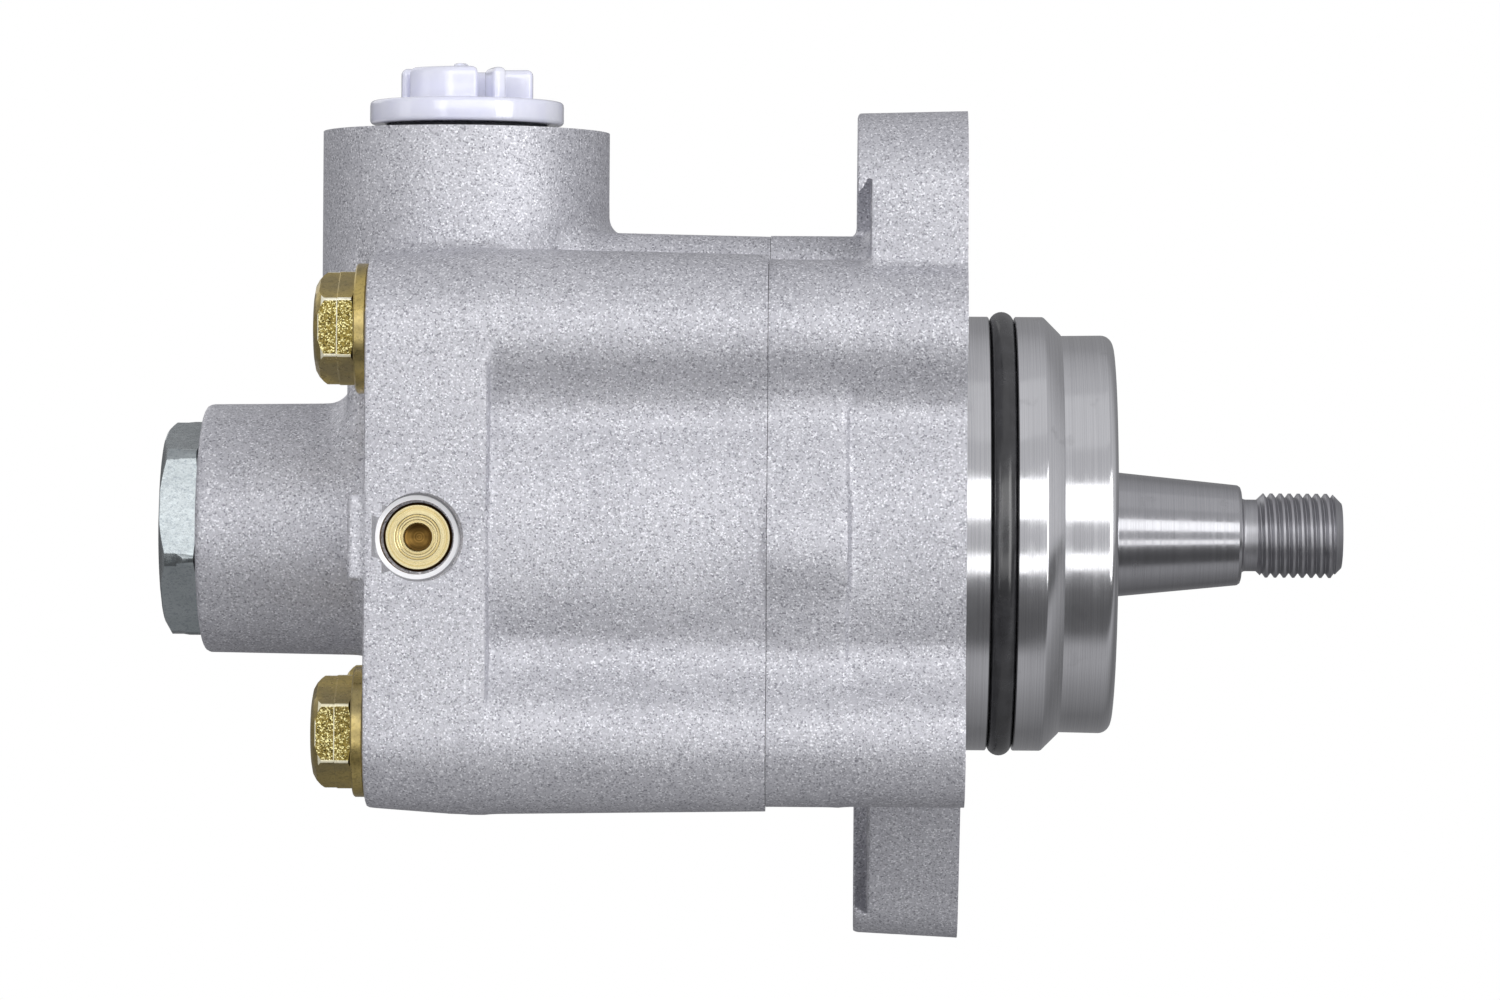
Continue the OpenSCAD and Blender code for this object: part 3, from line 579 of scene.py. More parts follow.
def make_materials():
    """Every material by the name of its slot in the record, and a few for single places."""
    yellow = [(0.66, 0.51, 0.18), (0.42, 0.34, 0.16), (0.10, 0.08, 0.03), (0.90, 0.80, 0.40)]
    pitted_yellow = [(0.31, 0.24, 0.06), (0.23, 0.17, 0.05), (0.04, 0.03, 0.01), (1.0, 0.92, 0.46)]
    edge_highlight_yellow = [(1.0, 0.97, 0.80), (0.94, 0.88, 0.62), (0.60, 0.50, 0.26), (1.0, 1.0, 0.9)]
    blue = [(0.47, 0.51, 0.52), (0.40, 0.44, 0.45), (0.24, 0.27, 0.30), (0.80, 0.84, 0.86)]
    gold, worn_gold = (1.0, 0.90, 0.56), (0.86, 0.68, 0.30)
    shade_tone, deep_shade_tone = (0.26, 0.15, 0.04), (0.14, 0.08, 0.02)
    made = [
        cast_metal("cast_aluminium", grey(0.60, 0.04), grey(0.54, 0.04)),
        turned_metal("machined_aluminium", grey(0.72), grey(0.64), 0.17),
        # Machined metal made nearly white and hardly metallic: a painted highlight that stays bright
        # whichever way the ring faces.
        turned_metal("machined_seat_painted_sheen", grey(0.98), grey(0.80), 0.30, "Y", CROSS_AT, 0.45, 0.02, 0.0, 0.15),
        turned_metal("hard_steel", grey(0.50), grey(0.38), 0.28, pitch=0.1),
        turned_metal("ground_steel", grey(0.48), grey(0.42), 0.20, pitch=0.09),
        turned_metal("rolled_thread", grey(0.46), grey(0.34), 0.40, pitch=0.09, stretch=0.0),
        turned_metal("bearing_steel", grey(0.72), grey(0.62), 0.14, depth=0.001),
        turned_metal("spring_steel", grey(0.20), grey(0.12), 0.38, stretch=0.0),
        cast_metal("sintered_iron", grey(0.36, 0.01), grey(0.28, 0.01), 0.9),
        turned_metal("bronze", (0.66, 0.45, 0.24), (0.50, 0.33, 0.17), 0.30),
        turned_metal("brass", gold, worn_gold, 0.24, "Y", CROSS_AT, 0.3, 0.012, 0.0),
        # Dark brown brass is painted shade: it darkens the cross plug's blind hole, its outer edge and the
        # groove round it.
        turned_metal("brass_painted_shade", shade_tone, deep_shade_tone, 0.34, "Y", CROSS_AT, 0.18),
        plated_metal("yellow_zinc_steel", yellow, 0.30, 0.012, 0.3),
        plated_metal("pitted_yellow_zinc", pitted_yellow, 0.34, 0.08, 1.0, 0.95, 5400.0),
        # Near-white, hardly metallic zinc on the bolts' edges is a painted highlight, bright whichever way
        # they face.
        plated_metal("yellow_zinc_painted_highlight", edge_highlight_yellow, 0.30, 0.02, 0.3, metallic=0.25),
        plated_metal("blue_zinc_steel", blue, 0.22, 0.012, 0.5),
        rubber("black_rubber"),
        plastic("white_plastic"),
    ]
    return dict(made)


MATERIALS = make_materials()
REPLACED = set()


def dress(obj, body, nodes, slot, *more):
    """Give a piece its materials, its body and the CAD nodes that it stands for."""
    obj.data.materials.clear()
    for key in (slot, *more):
        obj.data.materials.append(MATERIALS[key])
    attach(obj, body)
    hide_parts(*nodes)
    REPLACED.update(nodes)


def paint_faces(obj, rules):
    """Give the second material, third and so on to the faces that each rule picks by centre and normal."""
    mesh = obj.data
    count = len(mesh.polygons)
    centre, normal = np.zeros(count * 3), np.zeros(count * 3)
    mesh.polygons.foreach_get("center", centre)
    mesh.polygons.foreach_get("normal", normal)
    centre, normal = centre.reshape(-1, 3).T / MM, normal.reshape(-1, 3).T
    index = np.zeros(count, np.int32)
    for number, rule in enumerate(rules, start=1):
        index[rule(centre, normal)] = number
    mesh.polygons.foreach_set("material_index", index)
    mesh.update()


# ---- pieces


def rod_cutter(name, radius, low, high, axis="X", centre=(0.0, 0.0, 0.0)):
    """A round cutter between two stations."""
    return turned(name, [(0, low), (radius, low), (radius, high), (0, high)], axis, centre, 128)


def bolt_places():
    """The four bolt axes as (y, z)."""
    return [(sy * BOLT_AT, sz * BOLT_AT) for sy in (-1, 1) for sz in (-1, 1)]


def rear_housing():
    """The rear casting, faced and bored, with the seat of the cross plug and the pressure port."""
    low = (VALVE_END_X, -BLOCK_HALF - 0.5, -BLOCK_HALF - 0.5)
    high = (PARTING_X + STOCK, PORT_END_Y + STOCK, SUCTION_TOP + STOCK)
    f = Field(low, high)
    shell = f.mesh("rear_housing_casting", rear_cast_field(f), 0.004)
    valve_bore_r, valve_thread_r, chamber_r, bush_r = 11.0, 12.02, 35.0, 9.0
    suction_bore_r, suction_low_r, suction_way_r, suction_way_z = 12.25, 9.5, 5.0, 41.0
    port_r, port_foot_y, way_r, cross_way_r, bolt_hole_r = 8.25, 38.0, 4.5, 3.5, 5.25
    seat_r, step_r, mouth_r = 5.55, 5.95, 7.05
    mouth_y = -BLOCK_HALF + 0.45
    step_y = CROSS_LOW[1] + 0.9
    tools = [
        bar("parting_face", (PARTING_X, -80, -80), (PARTING_X + 10, 80, 80)),
        bar("suction_face", (-130, -40, SUCTION_TOP), (-40, 40, SUCTION_TOP + 10)),
        bar("port_face", (-120, PORT_END_Y, -30), (-60, PORT_END_Y + 10, 30)),
        rod_cutter("valve_bore", valve_bore_r, VALVE_END_X - 2, -84.0),
        rod_cutter("plug_thread", valve_thread_r, VALVE_END_X - 2, VALVE_END_X + 12.7),
        rod_cutter("chamber", chamber_r, PARTING_X - 41, PARTING_X + 2),
        rod_cutter("bush_seat", bush_r, PARTING_X - 48.5, PARTING_X - 40),
        rod_cutter("suction_bore", suction_bore_r, 46.0, SUCTION_TOP + 5, "Z", SUCTION_AT),
        turned("suction_mouth", [(0, SUCTION_TOP - 2.05), (suction_bore_r, SUCTION_TOP - 2.05),
                                 (17.3, SUCTION_TOP + 3), (0, SUCTION_TOP + 3)], "Z", SUCTION_AT),
        rod_cutter("suction_low", suction_low_r, 34.0, 50.0, "Z", SUCTION_AT),
        rod_cutter("suction_way", suction_way_r, SUCTION_X, PARTING_X - 4, "X", (0, 0, suction_way_z)),
        bar("suction_slot", (PARTING_X - 31, -4, 31), (PARTING_X - 5, 4, suction_way_z)),
        turned("cross_seat", [(0, mouth_y - 2), (mouth_r + 2, mouth_y - 2), (mouth_r, mouth_y),
                              (mouth_r - 0.35, mouth_y + 0.35), (step_r, mouth_y + 0.65), (step_r, step_y),
                              (seat_r, step_y), (seat_r, CROSS_HIGH[1]), (0, CROSS_HIGH[1])],
               "Y", CROSS_AT),
        rod_cutter("cross_way", cross_way_r, CROSS_HIGH[1] - 1, 0, "Y", CROSS_AT),
        turned("port_thread", [(0, port_foot_y), (port_r, port_foot_y)]
               + thread_wall(port_r, port_foot_y + 0.6, PORT_END_Y - 1.6, 1.5, 0.55)
               + [(port_r, PORT_END_Y - 1.5), (10.0, PORT_END_Y + 0.3),
                  (10.0, PORT_END_Y + 3), (0, PORT_END_Y + 3)],
               "Y", (PORT_X, 0, 0)),
        rod_cutter("port_way", way_r, 0, 40, "Y", (PORT_X, 0, 0)),
    ]
    tools += [rod_cutter("bolt_hole", bolt_hole_r, REAR_FACE_X - 5, PARTING_X + 2, "X", (0, y, z))
              for y, z in bolt_places()]
    combine(shell, tools)
    dress(shell, "housing", ["rear_housing"], "cast_aluminium", "machined_aluminium", "machined_seat_painted_sheen",
          "brass_painted_shade", "ground_steel")

    def machined(c, n):
        """The three faced ends, the chamber and the suction bore."""
        return ((c[2] > SUCTION_TOP - 0.02) | (c[1] > PORT_END_Y - 0.02)
                | (np.hypot(c[1], c[2]) < chamber_r + 0.05) & (c[0] > BLOCK_X)
                | (np.hypot(c[0] - SUCTION_X, c[1]) < 14.5) & (c[2] > 46))

    def seat_ring(inner, outer):
        """A rule for the faces between two radii of the seat, except those that lie in the casting's skin."""
        def rule(c, n):
            radius = np.hypot(c[0] - CROSS_X, c[2] - CROSS_Z)
            return (radius > inner) & (radius < outer) & (c[1] < -BLOCK_HALF + 12) & (n[1] > -0.999)
        return rule

    rim_r = mouth_r - 0.35
    # Paint for the seat: the chamfer ring is real machined metal with a painted highlight, the outer lip dark
    # steel grey as a painted shadow line, and the groove round the plug dark brass as painted shade.
    seats = [seat_ring(step_r + 0.02, rim_r), seat_ring(0, step_r + 0.02), seat_ring(rim_r, mouth_r)]
    paint_faces(shell, [machined] + seats)


def thread_wall(radius, low, high, pitch, depth):
    """Profile points of rings that stand for an inside thread."""
    points = []
    for k in range(int((high - low) / pitch)):
        start = low + k * pitch
        points += [(radius, start), (radius + depth, start + pitch / 2), (radius, start + pitch * 0.98)]
    return points


def front_housing():
    """The front casting, faced and bored, and joined to its turned pilot."""
    reach = LUG_END_Z + LUG_R
    f = Field((PARTING_X - STOCK, -46.5, -reach), (STOCK, 46.5, reach))
    shell = f.mesh("front_housing_casting", front_cast_field(f), 0.004)
    corner, seam = 2.0, 0.08
    nose_r, pilot_r, groove_r, groove_start, groove_end = 33.0, 36.0, 32.6, 4.1, 8.4
    bearing_r, clip_r, clip_start, clip_end = 26.0, 27.2, 21.05, 22.65
    seal_r, shaft_bore_r, bolt_hole_r = 21.0, 13.0, 5.02
    arc = [(nose_r - corner + corner * math.cos(a), PILOT_END_X - corner + corner * math.sin(a))
           for a in np.linspace(0, math.pi / 2, 9)]
    outside = eased([(seal_r, -1.0), (pilot_r, -1.0), (pilot_r, groove_start), (groove_r, groove_start),
                     (groove_r, groove_end), (pilot_r, groove_end), (pilot_r, 13.15), (nose_r, 16.15)], 0.18)
    inside = eased([(bearing_r + 0.8, PILOT_END_X), (bearing_r, PILOT_END_X - 0.8), (bearing_r, clip_end),
                    (clip_r, clip_end), (clip_r, clip_start), (bearing_r, clip_start),
                    (bearing_r, 6.0), (seal_r, 6.0)], 0.1)
    pilot = turned("pilot", outside + arc + inside, segments=256, angle=25)
    cuts = [
        bar("flange_face", (0, -80, -80), (20, 80, 80)),
        bar("parting_face", (PARTING_X - 10, -80, -80), (PARTING_X + seam, 80, 80)),
        rod_cutter("seal_seat", seal_r, -5.0, 10.0),
        rod_cutter("shaft_bore", shaft_bore_r, PARTING_X - 2, -4.0),
    ]
    cuts += [rod_cutter("lug_hole", LUG_HOLE_R, LUG_BACK_X - 5, 5, "X", (0, s * HOLE_Y, s * HOLE_Z))
             for s in (1, -1)]
    cuts += [rod_cutter("bolt_hole", bolt_hole_r, PARTING_X - 2, -10.0, "X", (0, y, z))
             for y, z in bolt_places()]
    combine(shell, cuts)
    combine(shell, [pilot], "UNION", 25)
    dress(shell, "housing", ["front_housing"], "cast_aluminium", "machined_aluminium")

    def machined(c, n):
        """The flange face with all of the pilot, the bores about the shaft, and both lug holes."""
        radius = np.hypot(c[1], c[2])
        hole = [np.hypot(c[1] - s * HOLE_Y, c[2] - s * HOLE_Z) < LUG_HOLE_R + 0.02 for s in (1, -1)]
        return (c[0] > -0.02) | (radius < seal_r + 0.1) | hole[0] | hole[1]

    paint_faces(shell, [machined])


def hexagon(flats, turn, corner_r):
    """A hexagon across its flats, with each corner rounded by three short sides."""
    reach = (flats / 2 - corner_r) * 2 / math.sqrt(3)
    points = []
    for k in range(6):
        middle = math.radians(turn + 60 * k)
        for lean in (-30, -10, 10, 30):
            a = middle + math.radians(lean)
            points.append((reach * math.cos(middle) + corner_r * math.cos(a),
                           reach * math.sin(middle) + corner_r * math.sin(a)))
    return points


def highlight_edges(c, n):
    """Rounded edges round the flats of a hexagon about X whose corners point up and down, which carry a
    painted highlight.
    """
    turn = np.degrees(np.arctan2(n[2], n[1])) % 60
    between = (np.abs(turn - 30) < 26) & (np.abs(n[0]) < 0.3)
    return between | (np.abs(n[0]) > 0.1) & (np.abs(n[0]) < 0.72) & (np.abs(n[1]) > 0.6)


def side_flats(c, n):
    """The two flats that face the near and far sides."""
    return np.abs(n[1]) > 0.985


def hexagon_head(name, turn, corner_r, sections, dome, centre=(0.0, 0.0, 0.0)):
    """A hexagon head about X through (flats, station) sections, its end turned to (radius, depth) points."""
    rows = [np.array(hexagon(flats, turn, corner_r)) for flats, station in sections]
    stations = [station for flats, station in sections]
    n = len(rows[0])
    vertices = np.vstack([along("X", np.full(n, x), row[:, 0], row[:, 1]) for row, x in zip(rows, stations)])
    faces = [list(range(n)), [len(vertices) - n + i for i in range(n)]]
    for start in range(0, len(vertices) - n, n):
        faces += [(start + i, start + (i + 1) % n, start + n + (i + 1) % n, start + n + i) for i in range(n)]
    head = soften(mesh_object(name, vertices + np.array(centre), faces), 0.24)
    end_x, seat_x, flats = stations[0], stations[-1], sections[-1][0]
    corner = flats / math.sqrt(3)
    outline = [(0, end_x)] + [(radius, end_x + depth) for radius, depth in dome]
    outline += [(corner + 0.1, seat_x - 0.5), (flats / 2 + 0.1, seat_x), (0, seat_x)]
    return combine(head, [turned("head_shape", outline, "X", centre)], "INTERSECT")


def housing_bolts():
    """Four hexagon bolts, each with a flat washer under its head."""
    head_x, seat_x, tip_x = BOLT_LOW[0], WASHER_LOW[0], BOLT_HIGH[0]
    flats, shank_r, thread_r, washer_r = 16.0, 5.0, 4.75, 10.5
    corner = flats / math.sqrt(3)
    dome = [(5.8, 0.02), (7.0, 0.25), (7.9, 0.75), (8.6, 1.4), (corner + 0.1, 2.4)]
    sections = [(flats - 2.8, head_x), (flats - 0.2, head_x + 0.95), (flats - 0.2, head_x + 3.9),
                (flats, head_x + 4.05), (flats, seat_x)]
    shank = eased([(0, seat_x - 1), (shank_r, seat_x - 1), (shank_r, PARTING_X - 2),
                   (thread_r, PARTING_X - 1.9), (thread_r, tip_x - 0.8), (4.0, tip_x), (0, tip_x)], 0.1)
    ring = eased([(5.4, seat_x), (washer_r, seat_x), (washer_r, REAR_FACE_X), (5.4, REAR_FACE_X)], 0.25)
    places = {"upper_near": (-1, 1), "lower_near": (-1, -1), "upper_far": (1, 1), "lower_far": (1, -1)}
    for label, (sy, sz) in places.items():
        centre = (0, sy * BOLT_AT, sz * BOLT_AT)
        head = hexagon_head("bolt_" + label, 90, 0.5, sections, dome, centre)
        combine(head, [turned("shank", shank, "X", centre, 64)], "UNION", 40)
        steady_flats(head)
        dress(head, "housing", ["housing_bolts"], "yellow_zinc_steel", "yellow_zinc_painted_highlight",
              "pitted_yellow_zinc")
        paint_faces(head, [highlight_edges, side_flats])
        washer = turned("washer_" + label, ring, "X", centre, 96)
        dress(washer, "housing", ["bolt_washers"], "yellow_zinc_steel")


def valve_plug():
    """Hexagon plug with its corners turned away, over a threaded and grooved stem."""
    head_x, seat_x, nose_x = PLUG_LOW[0], VALVE_END_X, PLUG_HIGH[0]
    flats, trim, chamfer = 32.0, 17.8, 1.9
    dome = [(trim - chamfer, 0.0), (trim, 1.1), (trim, 3.0)]
    plug = hexagon_head("valve_plug_body", 136.7, 2.2, [(flats, head_x), (flats, seat_x)], dome)
    ring_x = nose_x - 2.4
    stem = turned("stem", [(0, seat_x - 1), (12.0, seat_x - 1), (12.0, nose_x - 3.0), (10.9, nose_x - 3.0),
                           (10.9, ring_x), (9.3, ring_x), (9.3, ring_x + 1.8), (10.9, ring_x + 1.8),
                           (10.9, nose_x), (7.8, nose_x), (7.8, VALVE_END_X + 2), (0, VALVE_END_X + 2)])
    combine(plug, [stem], "UNION", 40)
    steady_flats(plug)
    dress(plug, "housing", ["valve_plug"], "blue_zinc_steel")


def cross_plug():
    """Expander plug with fine turned rings round a blind hole."""
    face_y, back_y = CROSS_LOW[1], CROSS_HIGH[1]
    outer, rim, hole, depth, first_ring, ring_step = 5.45, 0.32, 2.2, 2.6, 2.7, 0.42
    rings = []
    for k in reversed(range(3)):
        r = first_ring + ring_step * k
        rings += [(r + 0.20, face_y), (r + 0.12, face_y + 0.05), (r + 0.04, face_y)]
    profile = [(0, back_y), (outer, back_y), (outer, face_y + 0.5), (outer - rim, face_y)] + rings
    profile += [(hole + 0.15, face_y), (hole, face_y + 0.15), (hole, face_y + depth),
                (0, face_y + depth + 1.3)]
    plug = turned("cross_drill_plug_body", profile, "Y", CROSS_AT, 128, 20)
    dress(plug, "housing", ["cross_drill_plug"], "brass", "brass_painted_shade")

    def shaded(c, n):
        """The blind hole and the plug's outer edge, painted dark brass as painted shade."""
        radius = np.hypot(c[0] - CROSS_X, c[2] - CROSS_Z)
        return (radius < hole + 0.02) | (radius > outer - rim + 0.02)

    paint_faces(plug, [shaded])


def coil(name, mean, wire, low, high, turns, closed_turns=0.9, steps=40, sides=14):
    """Coil spring about X whose end turns lie closed."""
    count = int(turns * steps)
    s = np.linspace(0, 1, count + 1) * turns
    open_turns = turns - 2 * closed_turns
    travel = high - low - 2 * wire
    end_rise = closed_turns * 2 * wire * 0.55
    station = low + wire + np.interp(s, [0, closed_turns, closed_turns + open_turns, turns],
                                     [0, end_rise, travel - end_rise, travel])
    theta = s * 2 * math.pi
    vertices, faces = [], []
    for x, t in zip(station, theta):
        for k in range(sides):
            a = 2 * math.pi * k / sides
            r = mean + wire * math.cos(a)
            vertices.append((x + wire * math.sin(a), r * math.cos(t), r * math.sin(t)))
    for i in range(count):
        for k in range(sides):
            j = (k + 1) % sides
            faces.append((i * sides + k, i * sides + j, (i + 1) * sides + j, (i + 1) * sides + k))
    faces.append(tuple(range(sides)))
    faces.append(tuple(count * sides + k for k in range(sides)))
    return mesh_object(name, vertices, faces, 60)


def o_ring(name, body, node, axis="X", segments=192):
    """A smooth ring of round section that fills its CAD node's box."""
    low, high = span(node)
    index = "XYZ".index(axis)
    section = (high[index] - low[index]) / 2
    across = [i for i in range(3) if i != index][0]
    outer = (high[across] - low[across]) / 2
    centre = [(a + b) / 2 for a, b in zip(low, high)]
    profile = [(outer - section + section * math.cos(a), section * math.sin(a))
               for a in np.linspace(0, 2 * math.pi, 28, endpoint=False)]
    ring = turned(name, profile, axis, centre, segments, 80)
    dress(ring, body, [node], "black_rubber")


def threaded_rod(name, major, pitch, low, high, segments=96):
    """A right-hand 60 degree thread about X, a pitch too long at each end."""
    depth, crest, root = 0.70, 0.25, 0.07
    flank = (1 - crest - root) / 2
    rows = [(0.0, major), (crest, major), (crest + flank, major - depth), (1 - flank, major - depth)]
    turns = int(math.ceil((high - low) / pitch)) + 3
    levels = [((k + s) * pitch, r) for k in range(turns) for s, r in rows] + [(turns * pitch, major)]
    start = low - 2 * pitch
    angles = np.arange(segments) * 2 * math.pi / segments
    vertices = []
    for station, radius in levels:
        x = start + station + pitch * angles / (2 * math.pi)
        vertices.extend(np.stack([x, radius * np.cos(angles), radius * np.sin(angles)], -1).tolist())
    faces = []
    last = len(levels) - 1
    for row in range(last):
        for i in range(segments - 1):
            a = row * segments + i
            faces.append((a, a + 1, a + segments + 1, a + segments))
        if row + 5 <= last:
            faces.append((row * segments + segments - 1, (row + 4) * segments, (row + 5) * segments,
                          (row + 1) * segments + segments - 1))
    first = list(range(segments)) + [k * segments for k in (4, 3, 2, 1)]
    end = [last * segments + i for i in range(segments)]
    end += [(last - k) * segments + segments - 1 for k in (1, 2, 3, 4)]
    for loop, station in ((first, start), (end, start + turns * pitch)):
        vertices.append((station, 0.0, 0.0))
        hub = len(vertices) - 1
        faces += [(hub, loop[i], loop[(i + 1) % len(loop)]) for i in range(len(loop))]
    return mesh_object(name, vertices, faces, 25)


def drive_shaft():
    """The shaft from its tail to its cone and undercut, with spline teeth and a true thread."""
    end_x = SHAFT_HIGH[0]
    thread_x, neck_x, nose_x = end_x - 13.7, end_x - 16.7, 23.5
    neck_r, major = 5.95, 7.0
    cone_start, cone_end = 10.4 + (PILOT_END_X - nose_x) / 10, 10.4 - (neck_x - PILOT_END_X) / 10
    fillet_r = 0.8
    tail_r, core_r, journal_r, bearing_r, clip_r, collar_r = 7.5, 8.4, 10.0, 12.5, 11.8, 14.0
    fillet = [(neck_r + fillet_r - fillet_r * math.sin(a), neck_x + fillet_r - fillet_r * math.cos(a))
              for a in np.linspace(0.1, math.pi / 2, 6)]
    smooth = [(0, SHAFT_LOW[0]), (tail_r - 0.8, SHAFT_LOW[0]), (tail_r, SHAFT_LOW[0] + 0.8),
              (tail_r, ROTOR_LOW[0]), (core_r, ROTOR_LOW[0] + 0.1), (core_r, ROTOR_HIGH[0]),
              (journal_r, ROTOR_HIGH[0] + 0.1), (journal_r, -7.0), (bearing_r, -4.5), (bearing_r, 4.5),
              (clip_r, 4.5), (clip_r, 5.9), (bearing_r, 5.9), (bearing_r, 21.0), (collar_r, 21.0),
              (collar_r, nose_x - 0.4), (collar_r - 0.4, nose_x), (cone_start, nose_x),
              (cone_end + 0.06, neck_x - 0.6), (cone_end - 0.25, neck_x - 0.15), (cone_end - 0.7, neck_x)]
    smooth += fillet + [(neck_r, thread_x + 2.0), (0, thread_x + 2.0)]
    shaft = turned("drive_shaft_body", smooth, segments=192, angle=28)
    rod = threaded_rod("thread", major, 1.5, thread_x, end_x)
    blank = turned("blank", [(0, thread_x - 0.4), (neck_r + 0.02, thread_x - 0.4),
                             (major + 0.02, thread_x + 0.7), (major + 0.02, end_x - 1.6),
                             (major - 1.6, end_x), (0, end_x)], segments=192)
    combine(rod, [blank], "INTERSECT", 25)
    teeth = []
    tooth_count, root_r, crest_r = 20, 8.3, 9.2
    for k in range(tooth_count):
        for share, radius in ((0.0, root_r), (0.32, root_r), (0.42, crest_r), (0.78, crest_r), (0.9, root_r)):
            a = math.radians((k + share) * 360 / tooth_count)
            teeth.append((radius * math.cos(a), radius * math.sin(a)))
    spline = prism("spline", teeth, "X", ROTOR_LOW[0] + 0.2, ROTOR_HIGH[0] - 0.2)
    combine(shaft, [rod, spline], "UNION", 28)
    dress(shaft, "shaft", ["drive_shaft"], "ground_steel", "rolled_thread")
    paint_faces(shaft, [lambda c, n: c[0] > neck_x + 0.2])


def suction_plug():
    """Moulded plug: a flange under three pairs of grip blocks, with a rough gate stub."""
    flange_z, flange_top, top_z = SUCTION_TOP + 1.25, SUCTION_TOP + 5.15, SUCTION_TOP + 10.5
    foot_z = CAP_LOW[2]
    flange_r, grip_r, core_r, slot, step = 16.1, 10.95, 5.0, 2.6, 0.2
    slot_turns, notch_turns, corner = (23.5, 110.3), (-49.0, -8.0), 0.9
    gate_x, gate_y, gate_r = -0.6, -8.0, 1.15
    f = Field((SUCTION_X - flange_r, -flange_r, flange_z),
              (SUCTION_X + flange_r, flange_r, CAP_HIGH[2]), step)
    x, y, z = f.x - SUCTION_X, f.y, f.z
    radius = np.hypot(x, y)
    shape = drawn_out(radius - flange_r, slab(z, flange_z, flange_top), 0.7)
    sectors = np.abs(radius - (grip_r + core_r) / 2) - (grip_r - core_r) / 2

    def beside(degrees):
        """Distance to the left of a line from the centre at an angle."""
        return y * math.cos(math.radians(degrees)) - x * math.sin(math.radians(degrees))

    for degrees in slot_turns:
        sectors = carved(sectors, np.abs(beside(degrees)) - slot / 2, corner)
    sectors = carved(sectors, np.maximum(-beside(notch_turns[0]), beside(notch_turns[1])), corner)
    blocks = drawn_out(sectors, slab(z, flange_top - 2, top_z), 1.0)
    shape = joined(shape, blocks, 0.4)
    wobble = 0.22 * np.sin(x * 4.0 + 1.0) * np.sin(y * 3.6 + z * 5.0)
    gate = drawn_out(np.hypot(x - gate_x, y - gate_y) - gate_r + wobble,
                     slab(z, top_z - 1, CAP_HIGH[2] - 0.1), 0.4)
    plug = f.mesh("suction_plug_body", joined(shape, gate, 0.3), 0.01)
    spigot_top = flange_z + 1.2
    spigot_profile = eased([(9.5, foot_z), (12.0, foot_z), (12.0, spigot_top), (9.5, spigot_top)], 0.4)
    spigot = turned("spigot", spigot_profile, "Z", SUCTION_AT)
    combine(plug, [spigot], "UNION", 40)
    dress(plug, "plug", ["suction_plug"], "white_plastic")


def keep_cad_nodes():
    """The pieces that nothing stands for keep their CAD meshes and get the material of their slot."""
    slots = {s["node"]: s["material_slot"] for s in frame["record"]["subparts"]}
    for name, obj in frame["nodes"].items():
        if name in REPLACED:
            continue
        obj.data.materials.clear()
        obj.data.materials.append(MATERIALS[slots[name]])


def springs():
    """The spool's return spring and the relief valve's small one, at their rest lengths."""
    main = coil("spool_spring_coil", 6.5, 0.9, VALVE_END_X + 2, SPOOL_LOW[0], 6.0)
    dress(main, "housing", ["spool_spring"], "spring_steel")
    low, high = span("relief_spring")
    small = coil("relief_spring_coil", 2.3, 0.4, low[0], high[0], 5.0)
    dress(small, "spool", ["relief_spring"], "spring_steel")


rear_housing()
front_housing()
housing_bolts()
valve_plug()
cross_plug()
suction_plug()
drive_shaft()
springs()
o_ring("pilot_o_ring_rubber", "housing", "pilot_o_ring", segments=256)
o_ring("suction_plug_o_ring_rubber", "plug", "suction_plug_o_ring", "Z")
keep_cad_nodes()


# ---- stage, lights and camera


def stage():
    """A round pale floor that rises into a dome, seen by the camera alone."""
    floor_z, radius, rise = -105.0, 3200.0, 1200.0
    sweep = [(0, floor_z)] + [(r, floor_z) for r in (400.0, 1200.0, radius - rise)]
    sweep += [(radius - rise + rise * math.sin(a), floor_z + rise - rise * math.cos(a))
              for a in np.linspace(0.1, math.pi / 2, 12)]
    sweep += [(radius * math.cos(a), floor_z + rise + radius * math.sin(a))
              for a in np.linspace(0.1, math.pi / 2 - 0.01, 12)]
    sweep += [(0, floor_z + rise + radius)]
    dome = turned("floor_and_backdrop", sweep, "Z", (0, 0, 0), 96, 80)
    material = bpy.data.materials.new("pale_stage")
    material.use_nodes = True
    tree = material.node_tree
    tree.nodes.clear()
    glow = tree.nodes.new("ShaderNodeEmission")
    glow.inputs["Color"].default_value = (1.0, 1.0, 1.0, 1.0)
    out = tree.nodes.new("ShaderNodeOutputMaterial")
    tree.links.new(glow.outputs[0], out.inputs["Surface"])
    dome.data.materials.append(material)
    for ray in ("visible_diffuse", "visible_glossy", "visible_transmission", "visible_shadow",
                "visible_volume_scatter"):
        setattr(dome, ray, False)


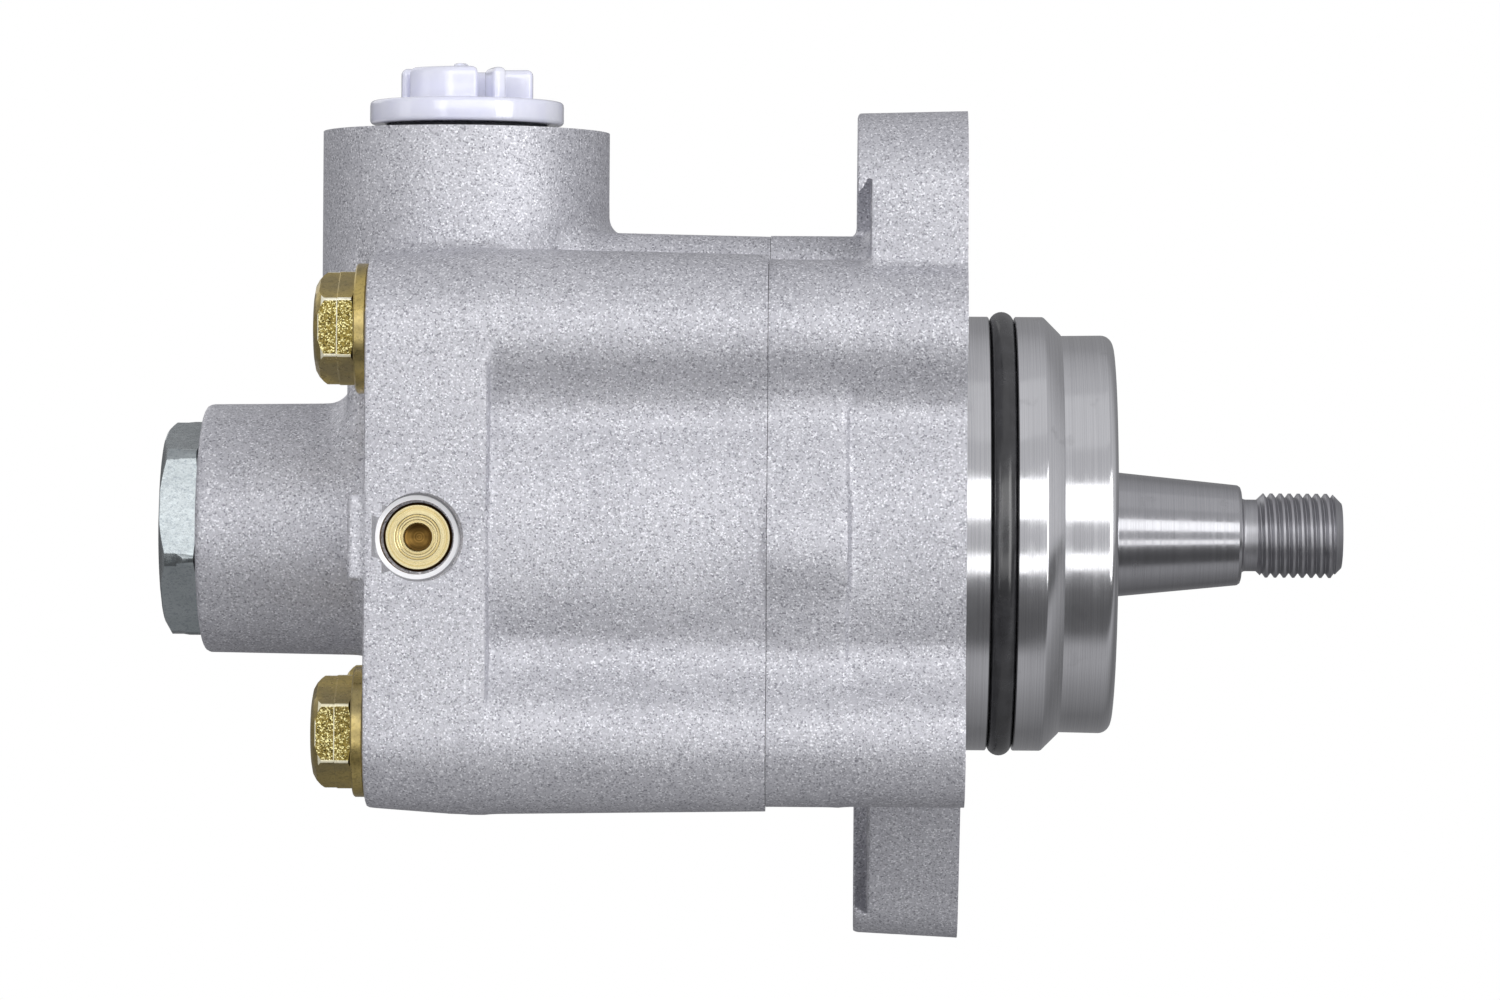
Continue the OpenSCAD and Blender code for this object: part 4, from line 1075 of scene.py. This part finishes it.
def world_light():
    """A soft surround that changes with the angle round the shaft's axis, dark below the near side."""
    world = bpy.data.worlds.new("studio")
    bpy.context.scene.world = world
    world.use_nodes = True
    tree = world.node_tree
    tree.nodes.clear()
    add, link = tree.nodes.new, tree.links.new
    place = add("ShaderNodeTexCoord")
    parts = add("ShaderNodeSeparateXYZ")
    near = add("ShaderNodeMath")
    near.operation = "MULTIPLY"
    near.inputs[1].default_value = -1.0
    turn = add("ShaderNodeMath")
    turn.operation = "ARCTAN2"
    shift = add("ShaderNodeMapRange")
    shift.inputs["From Min"].default_value = -math.pi
    shift.inputs["From Max"].default_value = math.pi
    ramp = add("ShaderNodeValToRGB")
    back = add("ShaderNodeBackground")
    out = add("ShaderNodeOutputWorld")
    link(place.outputs["Generated"], parts.inputs[0])
    link(parts.outputs["Y"], near.inputs[0])
    link(parts.outputs["Z"], turn.inputs[0])
    link(near.outputs[0], turn.inputs[1])
    link(turn.outputs[0], shift.inputs["Value"])
    link(shift.outputs["Result"], ramp.inputs["Fac"])
    stops = [(-180, 0.25), (-130, 0.18), (-100, 0.30), (-80, 0.42), (-68, 0.42), (-58, 0.14),
             (-45, 0.12), (-32, 0.16), (-24, 0.30), (-18, 0.50), (5, 0.60), (98, 0.56), (120, 0.45),
             (135, 0.34), (180, 0.25)]
    ramp.color_ramp.elements.remove(ramp.color_ramp.elements[1])
    for k, (degrees, level) in enumerate(stops):
        stop = ramp.color_ramp.elements[0] if k == 0 else ramp.color_ramp.elements.new((degrees + 180) / 360)
        stop.position = (degrees + 180) / 360
        stop.color = (level, level, level * 1.03, 1.0)
    link(ramp.outputs["Color"], back.inputs["Color"])
    link(back.outputs[0], out.inputs["Surface"])


AIM = (-35.25, 0.0, 5.3)


def softbox(name, azimuth, elevation, width, height, radiance, distance=1400.0):
    """A soft light at an azimuth from the near side towards +X, facing the part."""
    a, e = math.radians(azimuth), math.radians(elevation)
    way = np.array([math.sin(a) * math.cos(e), -math.cos(a) * math.cos(e), math.sin(e)])
    data = bpy.data.lights.new(name, "AREA")
    data.shape = "RECTANGLE"
    data.size, data.size_y = width * MM, height * MM
    data.energy = radiance * math.pi * data.size * data.size_y
    light = bpy.data.objects.new(name, data)
    light.location = (np.array(AIM) + way * distance) * MM
    light.rotation_euler = (math.pi / 2 - e, 0, a)
    bpy.context.scene.collection.objects.link(light)


def lights():
    """Two strips that the round metal reflects as bright bands, a key on the shaft's side, and fills."""
    softbox("upper_strip", 5, 18, 2400, 520, 1.52)
    softbox("lower_strip", 0, -15.5, 2200, 240, 1.4)
    softbox("right_key", 47, 4, 520, 1300, 2.6)
    softbox("left_strip", -27, 4, 190, 1000, 1.3)
    softbox("left_fill", -75, 4, 400, 1000, 0.5)
    softbox("top_fill", 20, 68, 1200, 900, 0.12)
    softbox("back_left", -140, 30, 1100, 900, 0.6)


def camera():
    """A long lens nearly square on, a little to the shaft's side, rolled a fraction of a degree."""
    distance, azimuth, roll = 1050.0, math.radians(0.8), math.radians(0.4)
    data = bpy.data.cameras.new("camera")
    data.lens, data.sensor_width = 151.6, 36.0
    data.clip_start, data.clip_end = 0.05, 50.0
    obj = bpy.data.objects.new("camera", data)
    place = [AIM[0] + distance * math.sin(azimuth), -distance * math.cos(azimuth), AIM[2]]
    obj.location = [c * MM for c in place]
    level = Euler((math.pi / 2, 0, azimuth)).to_quaternion()
    obj.rotation_mode = "QUATERNION"
    obj.rotation_quaternion = level @ Euler((0, 0, roll)).to_quaternion()
    bpy.context.scene.collection.objects.link(obj)
    bpy.context.scene.camera = obj


stage()
world_light()
lights()
camera()
bpy.context.scene.view_settings.view_transform = "Standard"
